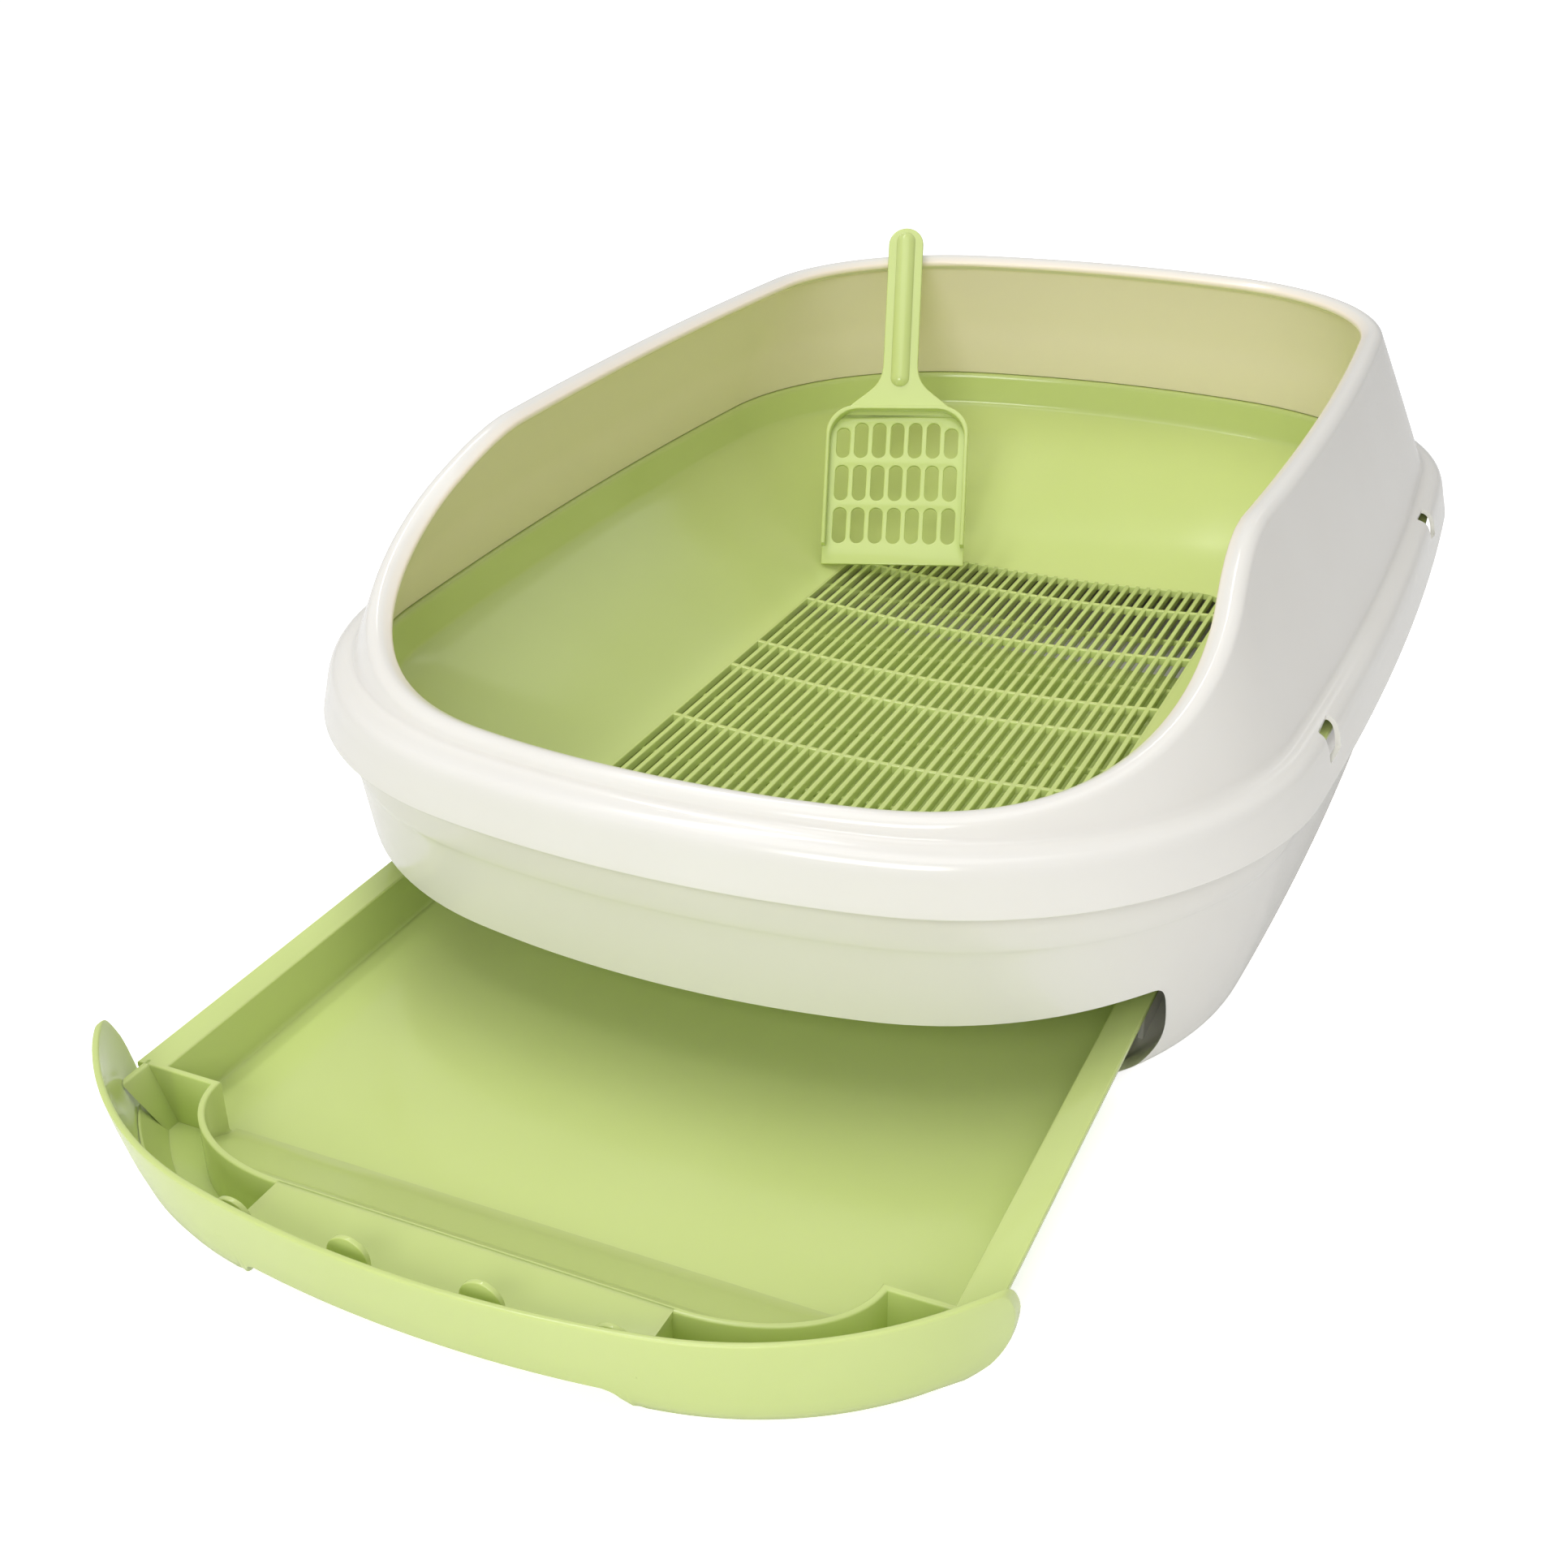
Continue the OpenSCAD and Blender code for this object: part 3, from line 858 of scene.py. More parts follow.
@dataclass(frozen=True)
class Tub:
    """White tub: a rounded foot, a drafted wall and the drawer opening."""

    palette: Palette
    outline: Outline
    height: float = 114.0
    lift: float = 1.0
    wall: float = 3.0
    floor: float = 4.0
    floor_in: float = 60.0
    sill: float = 8.2
    opening_half: float = 167.9
    opening_top: float = 51.2
    opening_depth: float = 130.0
    bow: float = 4.0
    bow_x: tuple[float, ...] = (158.0, 148.0, 130.0, 105.0, 80.0, 50.0, 25.0)
    skin: tuple[tuple[float, float], ...] = (
        (41.0, 1.0), (37.6, 3.5), (31.6, 8.5), (25.4, 14.0), (22.9, 18.5), (19.6, 30.0),
        (16.3, 45.0), (13.8, 60.0), (10.6, 84.0), (9.2, 87.0), (8.0, 114.0),
    )
    rail_w: float = 2.5
    rail_sink: float = 0.5
    carry_x: tuple[float, ...] = (-118.0, -40.0, 40.0, 118.0)
    carry_end: float = 262.0
    guide_x: float = 152.5
    guide_end: float = 190.0
    guide_h: float = 16.0
    pad_x: float = 120.0
    pad_y: float = 215.0
    pad_r: float = 11.2
    pad_sink: float = 1.3

    def inset(self, z: np.ndarray | float) -> np.ndarray:
        """Returns how far the outer face lies inside the skirt at height z."""
        table = np.array(self.skin)
        return np.interp(z, table[:, 1], table[:, 0])

    def inner(self, z: float) -> float:
        """Returns how far the inner face lies inside the skirt, for a wall of even thickness."""
        slope = float(self.inset(z - 1) - self.inset(z + 1)) / 2
        return float(self.inset(z)) + self.wall * math.hypot(1.0, slope)

    def build(self) -> None:
        """Builds the tub and dresses its pads."""
        shell = self._shell()
        carve(shell, self._opening())
        carve(shell, self._pad_seats())
        rails = self._rails()
        hand_over(shell, Body.TUB, Slot.WHITE, "base_tub")
        hand_over(rails, Body.TUB, Slot.WHITE)
        for corner in ("front_left", "front_right", "back_left", "back_right"):
            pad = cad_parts["foot_pad_" + corner]
            pad.data.materials.clear()
            pad.data.materials.append(self.palette.rubber)
            LOG.info("dressed foot_pad_%s", corner)

    def _shell(self) -> Thing:
        """Makes the wall and the floor, without the opening.

        Returns:
            The shell.
        """
        bend, edge, foot = 8.0, 1.1, 2.0
        rows = [(self.floor_in, self.lift, 0.0)]
        rows += [(inset, z, bend) for inset, z in self.skin[:-1]]
        rows += [(self.skin[-1][0], self.height, edge), (self.inner(self.height - 1), self.height, edge)]
        rows += [(self.inner(z), z, bend) for _, z in self.skin[-2:1:-1]]
        rows += [(self.inner(self.floor), self.floor, foot), (self.floor_in, self.floor, 0.0)]
        skin = self.outline.track().sweep(rounded_rows(rows))
        return Draft().grid(skin).build("tub_shell", self.palette.white)

    def _opening(self) -> Thing:
        """Makes the cutter for the drawer opening.

        Returns:
            The cutter.
        """
        half, sill, top = self.opening_half, self.sill, self.opening_top
        right = [
            (half - 16, sill, 6.0), (half - 11.5, sill + 3.6, 4.0), (half - 5.3, sill + 10.6, 4.0),
            (half - 2, sill + 17, 4.0), (half - 0.4, sill + 24.6, 4.0), (half, sill + 32.6, 4.0),
            (half - 0.1, top - 3, 2.0), (half - 0.6, top + 1.2, 2.0), (half - 2, top + 3.4, 1.6),
            *((x, top + self.bow * (x / half) ** 2, 6.0) for x in self.bow_x),
        ]
        left = [(-x, z, cut) for x, z, cut in reversed(right)]
        rows = np.array([*right, (0.0, top, 6.0), *left])
        view = rounded_line(rows[:, :2], rows[:, 2])
        front, back = self.outline.half_l + 10, self.outline.half_l - self.opening_depth
        draft = Draft().grid([[(x, -y, z) for x, z in view] for y in (front, back)])
        return draft.build("opening_cutter")

    def _pad_seats(self) -> Thing:
        """Makes the cutters for the four pads.

        Returns:
            The cutters as one object.
        """
        draft = Draft()
        for x in (-self.pad_x, self.pad_x):
            for y in (-self.pad_y, self.pad_y):
                ring, _ = arc((x, y), self.pad_r, 0, 2 * math.pi, 48)
                levels = (self.lift - 1, self.lift + self.pad_sink)
                draft.grid([np.insert(ring, 2, z, axis=1) for z in levels])
        return draft.build("pad_cutter")

    def _rails(self) -> Thing:
        """Makes the rails that carry and guide the drawer.

        Returns:
            The rails as one object.
        """
        draft = Draft()
        low, floor_in = self.floor - self.rail_sink, self.inner(self.floor)
        ends = [min(self.carry_end, float(self.outline.end_y(x, floor_in)) - 1) for x in self.carry_x]
        rails = [(x, end, self.sill, 0.5) for x, end in zip(self.carry_x, ends)]
        rails += [(x, self.guide_end, low + self.guide_h, 0.6) for x in (-self.guide_x, self.guide_x)]
        for x, end, top, cut in rails:
            draft.bar((x - self.rail_w / 2, -end, low), (x + self.rail_w / 2, end, top), cut)
        return draft.build("tub_rails", self.palette.white)


# ---- Splash guard


@dataclass(frozen=True)
class Guard:
    """White frame over the rims, with a raised, leaning wall and a rolled lip."""

    palette: Palette
    outline: Outline
    skirt: float = 104.0
    foot: float = 125.0
    foot_in: float = 14.5
    lip_front: float = 130.0
    lip_back: float = 190.0
    rise_start: float = -272.0
    rise_end: float = -112.0
    lean: float = 0.44
    lip_line: float = 35.0
    lip_w: float = 11.0
    wall: float = 3.4
    seat: float = 117.1
    window_l: float = 16.0
    window_y: tuple[float, float] = (-139.0, 105.0)
    window_out: float = 4.8
    window_in: float = 12.6
    window_z: tuple[float, float] = (112.0, 137.0)
    window_cut: float = 1.2
    # Where the painted bounce light on the inner walls starts, and over what range it reaches full
    # strength, in how far a face looks inwards.
    bounce_light_start: float = 0.35
    bounce_light_reach: float = 0.4

    def lip_height(self, y: np.ndarray) -> np.ndarray:
        """Returns the height of the lip's inner edge where the wall stands at y."""
        share = np.clip((y - self.rise_start) / (self.rise_end - self.rise_start), 0, 1)
        return self.lip_front + (self.lip_back - self.lip_front) * share * share * (3 - 2 * share)

    def build(self) -> None:
        """Builds the guard."""
        shell = self._shell()
        carve(shell, self._windows())
        self._paint_bounce_light(shell)
        hand_over(shell, Body.GUARD, Slot.WHITE, "splash_guard")

    def _shell(self) -> Thing:
        """Makes the guard without its windows.

        The rows of its profile are the inset at the foot, the share of the lean,
        the height at the foot, the share of the rise, and the cut.

        Returns:
            The shell.
        """
        track = self.outline.track()
        lip = self.lip_height((track.points - self.lip_line * track.outward)[:, 1])
        lean, rise = self.lean * (lip - self.lip_front), lip - self.foot
        foot_in, foot, lip_in = self.foot_in, self.foot, self.foot_in + self.lip_w
        behind = self.foot_in + self.wall
        rows = [
            (0, 0, self.skirt, 0, 0.8), (2, 0, 112, 0, 4.0), (3.4, 0, 118.6, 0, 3.0),
            (5.4, 0, 122.6, 0, 3.0), (8.6, 0, 124.3, 0, 3.0), (13, 0, foot, 0, 1.5),
            (foot_in, 0, foot + 1.2, 0, 1.5), (foot_in, 0.5, foot, 0.5, 8.0),
            (foot_in, 1, foot - 2, 1, 1.2), (foot_in + 1, 1, foot + 0.4, 1, 1.4),
            (foot_in + 3.8, 1, foot + 2.4, 1, 2.0), (foot_in + 7, 1, foot + 2.1, 1, 2.0),
            (lip_in, 1, foot - 0.4, 1, 1.3), (lip_in, 1, foot - 2.6, 1, 0.9),
            (behind + 1.5, 1, foot - 5.4, 1, 1.5), (behind + 0.2, 0.4, foot - 3, 0.4, 6.0),
            (behind, 0, self.seat, 0, 0.6), (foot_in, 0, self.seat, 0, 0.6),
            (12.4, 0, 122.9, 0, 1.5), (9, 0, 122.5, 0, 1.5), (6.6, 0, 121.1, 0, 1.5),
            (5, 0, 117.4, 0, 2.0), (2.8, 0, self.skirt, 0, 0.8),
        ]
        bent = [
            (inset + leaning * lean, z + rising * rise, cut) for inset, leaning, z, rising, cut in rows
        ]
        section = rounded_rows(bent)
        draft = Draft().grid(track.sweep(section), wrap_rows=True)
        return draft.build("splash_guard_shell", self.palette.white)

    def _paint_bounce_light(self, shell: Thing) -> None:
        """Paints bounce light: gives the faces that look inwards a share of the finish's warmer inside
        tone, which stands in for light thrown onto them from the green basin.

        Args:
            shell: The guard.
        """
        mesh = shell.data
        place, normal = np.empty((2, len(mesh.vertices) * 3))
        mesh.vertices.foreach_get("co", place)
        mesh.vertex_normals.foreach_get("vector", normal)
        spots, normals = place.reshape(-1, 3), normal.reshape(-1, 3)
        size = np.array([self.outline.half_w, self.outline.half_l]) * MM
        away = (spots[:, :2] / size) ** 3 / size
        away /= np.linalg.norm(away, axis=1, keepdims=True)
        inwards = -(normals[:, :2] * away).sum(axis=1)
        on_wall = (spots[:, 2] > self.foot * MM) | (np.abs(spots[:, 0]) < size[0] - self.foot_in * MM)
        # Painted bounce light: inward faces of the raised wall get the warm tone, more the more they face
        # inwards.
        bounce_light_share = np.clip((inwards - self.bounce_light_start) / self.bounce_light_reach, 0, 1)
        bounce_light_marks = mesh.attributes.new(PAINTED_BOUNCE_ATTRIBUTE, "FLOAT", "POINT")
        bounce_light_marks.data.foreach_set("value", np.where(on_wall, bounce_light_share, 0.0))

    def _windows(self) -> Thing:
        """Makes the cutters for the four windows at the wall's foot.

        Returns:
            The cutters as one object.
        """
        draft = Draft()
        half, reach, (low, high) = self.outline.half_w, self.window_l / 2, self.window_z
        for side in (-1, 1):
            a, b = sorted((side * (half - self.window_out), side * (half - self.window_in)))
            for y in self.window_y:
                draft.bar((a, y - reach, low), (b, y + reach, high), self.window_cut, along=2)
        return draft.build("window_cutter")


# ---- Basin


@dataclass(frozen=True)
class RibSet:
    """Ribs across the grate, at places in elevenths of its length.

    Their upper and lower edges are measured down from the grate's surface.
    """

    name: str
    units: tuple[int, ...]
    top: float
    foot: float
    width: float


@dataclass(frozen=True)
class Basin:
    """Green basin hung in the tub's rim, with a dished, slotted grate."""

    palette: Palette
    outline: Outline
    rim: float = 116.8
    rim_t: float = 2.5
    flange_out: float = 7.2
    flange_in: float = 19.0
    band_in: float = 22.0
    band_ease: float = 1.5
    shoulder: float = 98.0
    slope_t: float = 3.1
    slope_steps: int = 14
    slope_bend: float = 1.35
    grate_z: float = 46.0
    grate_half: float = 104.4
    grate_front: float = -174.0
    grate_l: float = 342.0
    grate_t: float = 4.0
    grate_dip: float = 5.0
    squareness: int = 12
    slot_count: int = 36
    slot_w: float = 3.4
    rib_past: float = 1.4
    rib_units: int = 11
    full_ribs: tuple[int, ...] = (0, 1, 3, 5, 6, 8, 10, 11)
    low_ribs: tuple[int, ...] = (2, 4, 7, 9)

    @property
    def rib_sets(self) -> tuple[RibSet, RibSet]:
        """The ribs that reach the grate's surface, and the lower ones between them."""
        full = RibSet("grate_ribs", self.full_ribs, 0.08, self.grate_t, 2.6)
        return full, RibSet("grate_low_ribs", self.low_ribs, 3.6, 6.2, 2.4)

    def dip(self, x: np.ndarray) -> np.ndarray:
        """Returns how far the grate at x lies over its edges, a number under zero."""
        return -self.grate_dip * (1 - np.minimum(np.abs(x) / self.grate_half, 1) ** 2)

    def build(self) -> None:
        """Builds the basin."""
        green = self.palette.green
        bowl = self._bowl()
        on_line = CopyTree("copies_on_a_line", on_line=True).build()
        on_points = CopyTree("copies_on_points", on_line=False).build()
        pitch = 2 * self.grate_half / self.slot_count
        sizes = {"pitch": pitch * MM, "dip": self.grate_dip * MM, "half_width": self.grate_half * MM}
        bars = copies("grate_bars", on_line, self._bar(pitch), green, count=self.slot_count + 1, **sizes)
        ribs = [self._ribs(kind, on_points) for kind in self.rib_sets]
        hand_over(bowl, Body.BASIN, Slot.GREEN, "sieve_basin")
        for piece in (bars, *ribs):
            hand_over(piece, Body.BASIN, Slot.GREEN)

    def _grate_edge(self, points: np.ndarray) -> np.ndarray:
        """Finds the grate's rounded edge in the direction of each point.

        Args:
            points: (points, 2) places outside the grate.

        Returns:
            (points, 2) places on its edge.
        """
        middle = np.array([0.0, self.grate_front + self.grate_l / 2])
        share = np.abs(points - middle) / np.array([self.grate_half, self.grate_l / 2])
        size = np.sum(share**self.squareness, axis=1, keepdims=True) ** (1 / self.squareness)
        return middle + (points - middle) / size

    def _slope(self, share: float, down: float) -> np.ndarray:
        """Makes one ring of the slope from the shoulder to the grate.

        Args:
            share: 0 at the shoulder, 1 at the grate.
            down: How far the ring lies under the upper face.

        Returns:
            (columns, 3) points.
        """
        track = self.outline.track()
        start = track.points - (self.band_in + self.band_ease) * track.outward
        edge = self._grate_edge(start)
        fall = 1 - (1 - share) ** self.slope_bend
        z = self.shoulder + (self.grate_z + self.dip(edge[:, 0]) - self.shoulder) * fall - down
        return np.concatenate([start + (edge - start) * share, z[:, None]], axis=1)

    def _bowl(self) -> Thing:
        """Makes the flange, the steep band and the slope down to the grate.

        Returns:
            The bowl, open where the grate's bars lie.
        """
        out, flange, band, thick = self.flange_out, self.flange_in, self.band_in, self.rim_t
        rows = [
            (out, self.rim - thick, 0.8), (out, self.rim, 0.8), (flange, self.rim, 1.0),
            (flange + 1, self.rim - 2, 1.0), (band, self.shoulder + 2, 1.2),
            *((band + self.band_ease, self.shoulder - down, 0.0) for down in (0.0, self.slope_t)),
            (band - thick, self.shoulder - 1, 1.0), (flange - thick + 0.5, self.rim - thick, 1.0),
        ]
        swept = self.outline.track().sweep(rounded_rows(rows))
        shares = np.linspace(0, 1, self.slope_steps + 1)
        upper = [self._slope(share, 0.0) for share in shares]
        lower = [self._slope(share, self.slope_t) for share in shares[::-1]]
        before, after = (corner * (CORNER_STEPS + 1) for corner in (5, 7))
        draft = Draft().grid([*swept[:before], *upper, *lower, *swept[after:]], wrap_rows=True)
        return draft.build("basin_bowl", self.palette.green)

    def _bar(self, pitch: float) -> Thing:
        """Makes one bar of the grate, at x = 0 and the height of the edges.

        Args:
            pitch: The distance from bar to bar.

        Returns:
            The bar.
        """
        half, past, low = (pitch - self.slot_w) / 2, 2.0, self.grate_z - self.grate_t
        start, end = self.grate_front - past, self.grate_front + self.grate_l + past
        draft = Draft()
        draft.bar((-half, start, low), (half, end, self.grate_z), 0.55, foot_cut=0.3)
        return draft.build("grate_bar")

    def _ribs(self, kind: RibSet, tree: Tree) -> Thing:
        """Makes a set of cross ribs.

        Args:
            kind: The set.
            tree: The tree that copies one rib.

        Returns:
            The ribs as one object.
        """
        end, half = self.grate_half + self.rib_past, kind.width / 2
        ring = [[-half, -kind.foot], [half, -kind.foot], [half, -kind.top], [-half, -kind.top]]
        section = rounded_line(ring, [0.3, 0.3, 0.5, 0.5]) + [0.0, self.grate_z]
        x = np.linspace(-end, end, 49)
        rows = [np.insert(section + [0.0, dip], 0, at, axis=1) for at, dip in zip(x, self.dip(x))]
        rib = Draft().grid(rows).build("grate_rib")
        unit = self.grate_l / self.rib_units
        points = [[0.0, self.grate_front + u * unit, 0.0] for u in kind.units]
        return copies(
            kind.name, tree, rib, self.palette.green, points, dip=0.0, half_width=self.grate_half * MM
        )


# ---- Drawer


@dataclass(frozen=True)
class Drawer:
    """Green tray of the pull-out drawer with its shelf, tabs and curved front."""

    palette: Palette
    outline: Outline
    tub: Tub
    open_by: float = 165.0
    half_in: float = 147.0
    wall: float = 2.5
    flange: float = 12.0
    under: float = 8.5
    floor: float = 10.5
    top: float = 33.0
    front_y: float = -253.0
    setback_y: float = -219.0
    bend_x: float = 72.0
    setback_x: float = 124.0
    corner: float = 30.0
    back_y: float = 232.0
    ramp_under: float = 3.0
    shelf_t: float = 2.5
    fit: float = 0.3
    tab_x: tuple[float, ...] = (-67.0, -23.5, 23.5, 67.0)
    tab_half: float = 7.5
    tab_top: float = 48.4
    tab_y: float = -281.6
    tab_t: float = 2.0
    peg_lift: float = 2.2
    peg_w: float = 5.4
    peg_h: float = 3.4
    peg_past: float = 4.0
    barb_h: float = 1.2
    front_t: float = 2.4
    front_half: float = 167.0
    front_low: float = 9.8
    front_top: float = 50.3
    recess_half: float = 74.0
    bay_lean: float = 0.4
    lip_h: float = 11.0
    lip_t: float = 1.4

    @property
    def peg_z(self) -> float:
        """Height of the pegs' underside."""
        return self.top + self.peg_lift

    def build(self) -> None:
        """Builds the drawer, open as the frame has it."""
        green = self.palette.green
        tray = self._tray()
        tree = CopyTree("copies_of_tabs", on_line=False).build()
        points = [[x, self.tab_y, 0.0] for x in self.tab_x]
        tabs = copies("drawer_tabs", tree, self._tab(), green, points, half_width=1.0)
        front = self._front()
        for piece in (tray, tabs, front):
            piece.data.transform(Matrix.Translation((0.0, -self.open_by * MM, 0.0)))
        hand_over(tray, Body.DRAWER, Slot.GREEN, "drawer_tray")
        hand_over(tabs, Body.DRAWER, Slot.GREEN)
        hand_over(front, Body.DRAWER, Slot.GREEN, "drawer_front")

    def _low_edge(self, across: np.ndarray) -> np.ndarray:
        """Finds the height of the front's lower edge, which rises round its corners.

        Args:
            across: Distances from the middle.

        Returns:
            The heights.
        """
        half, z = self.front_half, self.front_low
        rows = [
            (0, z), (125, z + 0.3), (half - 24, z + 0.9), (half - 17, z + 2.3), (half - 10.4, z + 5.4),
            (half - 5.6, z + 9.8), (half - 2.2, z + 17), (half - 0.6, z + 25), (half, z + 32),
        ]
        return self._eased(rows, across, 5.0)

    def _top_edge(self, across: np.ndarray) -> np.ndarray:
        """Finds the height of the front's upper edge, which bows up to its corners.

        Args:
            across: Distances from the middle.

        Returns:
            The heights.
        """
        half, z = self.front_half, self.front_top
        rows = [
            *((x, z + self.tub.bow * (x / half) ** 2) for x in range(0, 150, 10)),
            (158.6, z + 3.6), (half - 2.4, z + 3.0), (half - 1, z + 0.6), (half - 0.3, z - 4),
            (half, self.front_low + 32),
        ]
        return self._eased(rows, across, 1.6)

    def _recess_edge(self, across: np.ndarray) -> np.ndarray:
        """Finds the height of the finger recess's edge, whose ends have two bends.

        Args:
            across: Distances from the middle.

        Returns:
            The heights.
        """
        ease = ((12, 12), (8, 10.5), (5.5, 6), (3, 1.5), (0, 0))
        rows = [(self.recess_half - inwards, self.front_low + rise) for inwards, rise in ease]
        return self._eased(rows, across, 3.0)

    @staticmethod
    def _eased(rows: Sequence[tuple[float, float]], at: np.ndarray, cut: float) -> np.ndarray:
        """Returns the heights of a line of (x, z) corners, each rounded from cut on, at given x."""
        line = rounded_line(rows, [0.0] + [cut] * (len(rows) - 2) + [0.0], 5)
        return np.interp(at, line[:, 0], line[:, 1])

    def _behind(self, x: np.ndarray | float, z: np.ndarray | float) -> np.ndarray:
        """Returns y just behind the drawer front's inner face at x and z."""
        return -self.outline.end_y(x, self.tub.inset(z) + self.front_t + self.fit)

    def _bay_x(self, z: Any) -> Any:
        """Returns where the inner face of a bay's leaning end wall stands at height z."""
        return self.half_in - 2 + self.bay_lean * (z - self.floor)

    def _wall_y(self, x: np.ndarray) -> np.ndarray:
        """Returns y of the tray's front wall, which bends back on both sides of the shelf."""
        share = np.clip((np.abs(x) - self.bend_x) / (self.setback_x - self.bend_x), 0, 1)
        return self.setback_y - (self.setback_y - self.front_y) * np.sqrt(1 - share**2)

    def _plan(self) -> tuple[Track, np.ndarray]:
        """Makes the plan of the tray's inside.

        Returns:
            The line, and for each point whether the flange runs along it.
        """
        turn = np.radians(np.linspace(90, 6, 22))
        reach, depth = self.setback_x - self.bend_x, self.setback_y - self.front_y
        away = np.stack([np.cos(turn), -np.sin(turn)], axis=1)
        bend = np.array([self.bend_x, self.setback_y]) + away * [reach, depth]
        corners = [[self.setback_x, self.setback_y], *[[self.half_in, self.setback_y]] * 2]
        centre = (self.half_in - self.corner, self.back_y - self.corner)
        back, back_away = arc(centre, self.corner, 0.0, math.pi / 2, 20)
        half = np.concatenate([bend, corners, back, [[centre[0], self.back_y]]])
        ways = np.concatenate([away, [[1.0, -1.0]] * 3, back_away, [[0.0, 1.0]]])
        flanged = np.array([False] * (len(bend) + 2) + [True] * (len(back) + 2))
        points, ways = (np.concatenate([side, side[::-1] * MIRROR]) for side in (half, ways))
        return Track(points, ways), np.concatenate([flanged, flanged[::-1]])

    def _tray(self) -> Thing:
        """Makes the tray with its flange, ramp, shelf and bays.

        Returns:
            The tray.
        """
        track, flanged = self._plan()
        wide, middle = np.where(flanged, self.flange, self.wall), -20.0
        rim_foot = self.top - self.wall
        rows = [
            (middle, self.under, 0.0), (self.wall, self.under, 1.0), (self.wall, rim_foot, 0.5),
            (wide, rim_foot, 0.7), (wide, self.top, 0.8), (0.0, self.top, 1.0),
            (0.0, self.floor, 2.6), (middle, self.floor, 0.0),
        ]
        corners = [np.stack(np.broadcast_arrays(grow, z, wide)[:2], axis=1) for grow, z, _ in rows]
        section = rounded(corners, [cut for _, _, cut in rows], 5)
        grid = track.sweep(section)
        side = int(np.argmax(flanged))
        for column, sign in ((side, 1), (len(flanged) - 1 - side, -1)):
            out = section[:, column, 0]
            past = out > self.wall
            grid[past, column, 0] = sign * (self.half_in + out[past])
            grid[past, column, 1] = self.setback_y - self.wall
        draft = Draft().grid(grid)
        self._add_ramp(draft)
        self._add_shelf(draft)
        return draft.build("drawer_tray_shell", self.palette.green)

    def _add_ramp(self, draft: Draft) -> None:
        """Adds the ramp from the tray's floor up to its front wall.

        Args:
            draft: What gets the ramp.
        """
        bend = np.linspace(self.bend_x, self.setback_x - 0.4, 24)
        x = np.concatenate([-bend[::-1], np.linspace(-self.bend_x, self.bend_x, 9)[1:-1], bend])
        start, low_y, foot = self.setback_y + 3, self.setback_y - 0.5, self.under + 0.4
        high, ease, sink, steps = self.top - self.ramp_under, 4.0, 0.25, 12
        slope = (high - self.floor) / (self.setback_y - (self.front_y + 3))
        rows = []
        for at, wall in zip(x, self._wall_y(x) - 0.3):
            y = start + (wall - start) * np.linspace(0, 1, steps)
            climb = slope * (low_y - y)
            z = self.floor - 0.02 + np.where(climb > -3, (climb + np.sqrt(climb**2 + ease)) / 2, 0)
            upper = np.stack([np.full(steps, at), y, np.minimum(z - sink, high)], axis=1)
            rows.append([*upper, [at, wall, foot], [at, start, foot]])
        draft.grid(rows)

    def _add_shelf(self, draft: Draft) -> None:
        """Adds the shelf before the tray, its two end walls and the bays.

        Args:
            draft: What gets the shelf.
        """
        half, back = self.bend_x, self.front_y - 1.2
        self._add_plate(draft, (-half, half), back, (self.top - self.shelf_t, self.top), 0.5)
        for side in (-1, 1):
            wall = (side * (half - self.wall), side * (half - 0.3))
            self._add_plate(draft, wall, back, (self.under, self.top - 0.6), 0.3)
            floor = (side * (half - 0.5), side * (self._bay_x(self.under) + self.wall - 0.2))
            self._add_plate(draft, floor, None, (self.under, self.floor), 0.4)
            self._add_bay_end(draft, side)
            self._add_bay_lip(draft, side)

    def _add_plate(
        self,
        draft: Draft,
        across: tuple[float, float],
        back: float | None,
        levels: tuple[float, float],
        cut: float,
    ) -> None:
        """Adds a level plate that ends behind the drawer front's curved skin.

        Args:
            draft: What gets the plate.
            across: Its two ends.
            back: Its back edge, or None where it ends in the tray's own wall.
            levels: Its underside and its upper face.
            cut: How far its edges are cut back.
        """
        x = np.linspace(min(across), max(across), 33)
        back_y = self._wall_y(x) - 1.2 if back is None else np.full(len(x), back)
        low, high = (np.full(len(x), level) for level in levels)
        fronts = self._behind(x, low), self._behind(x, high)
        corners = [(fronts[0], low), (back_y, low), (back_y, high), (fronts[1], high)]
        section = rounded(np.stack([np.stack(pair, axis=1) for pair in corners]), [cut, 0.0, 0.0, cut], 3)
        draft.grid([np.insert(section[:, i], 0, at, axis=1) for i, at in enumerate(x)])

    def _add_bay_end(self, draft: Draft, side: int) -> None:
        """Adds the wall that closes a bay beside the drawer front, and its cheek.

        Args:
            draft: What gets the wall.
            side: 1 on the right, -1 on the left.
        """
        low, top, back, wall = self.under, self.top, self.setback_y, self.wall
        foot, head = self._bay_x(low), self._bay_x(top)
        ring = [[foot, low], [foot + wall, low], [head + wall, top], [head, top]]
        section = rounded_line(ring, [0.3, 0.6, 0.7, 0.7])
        x, z = side * section[:, 0], section[:, 1]
        front = self._behind(x, z)
        reach = front - back
        draft.grid([np.stack([x, back - 0.1 + reach * share, z], axis=1) for share in (0, 0.5, 1)])
        low, top = low + 0.2, top - 0.6
        cheek = [(foot, low), (foot + wall, low), (head + wall, top), (foot, top)]
        draft.grid([[(side * x, y, z) for x, z in cheek] for y in (back - wall + 0.1, back - 0.15)])

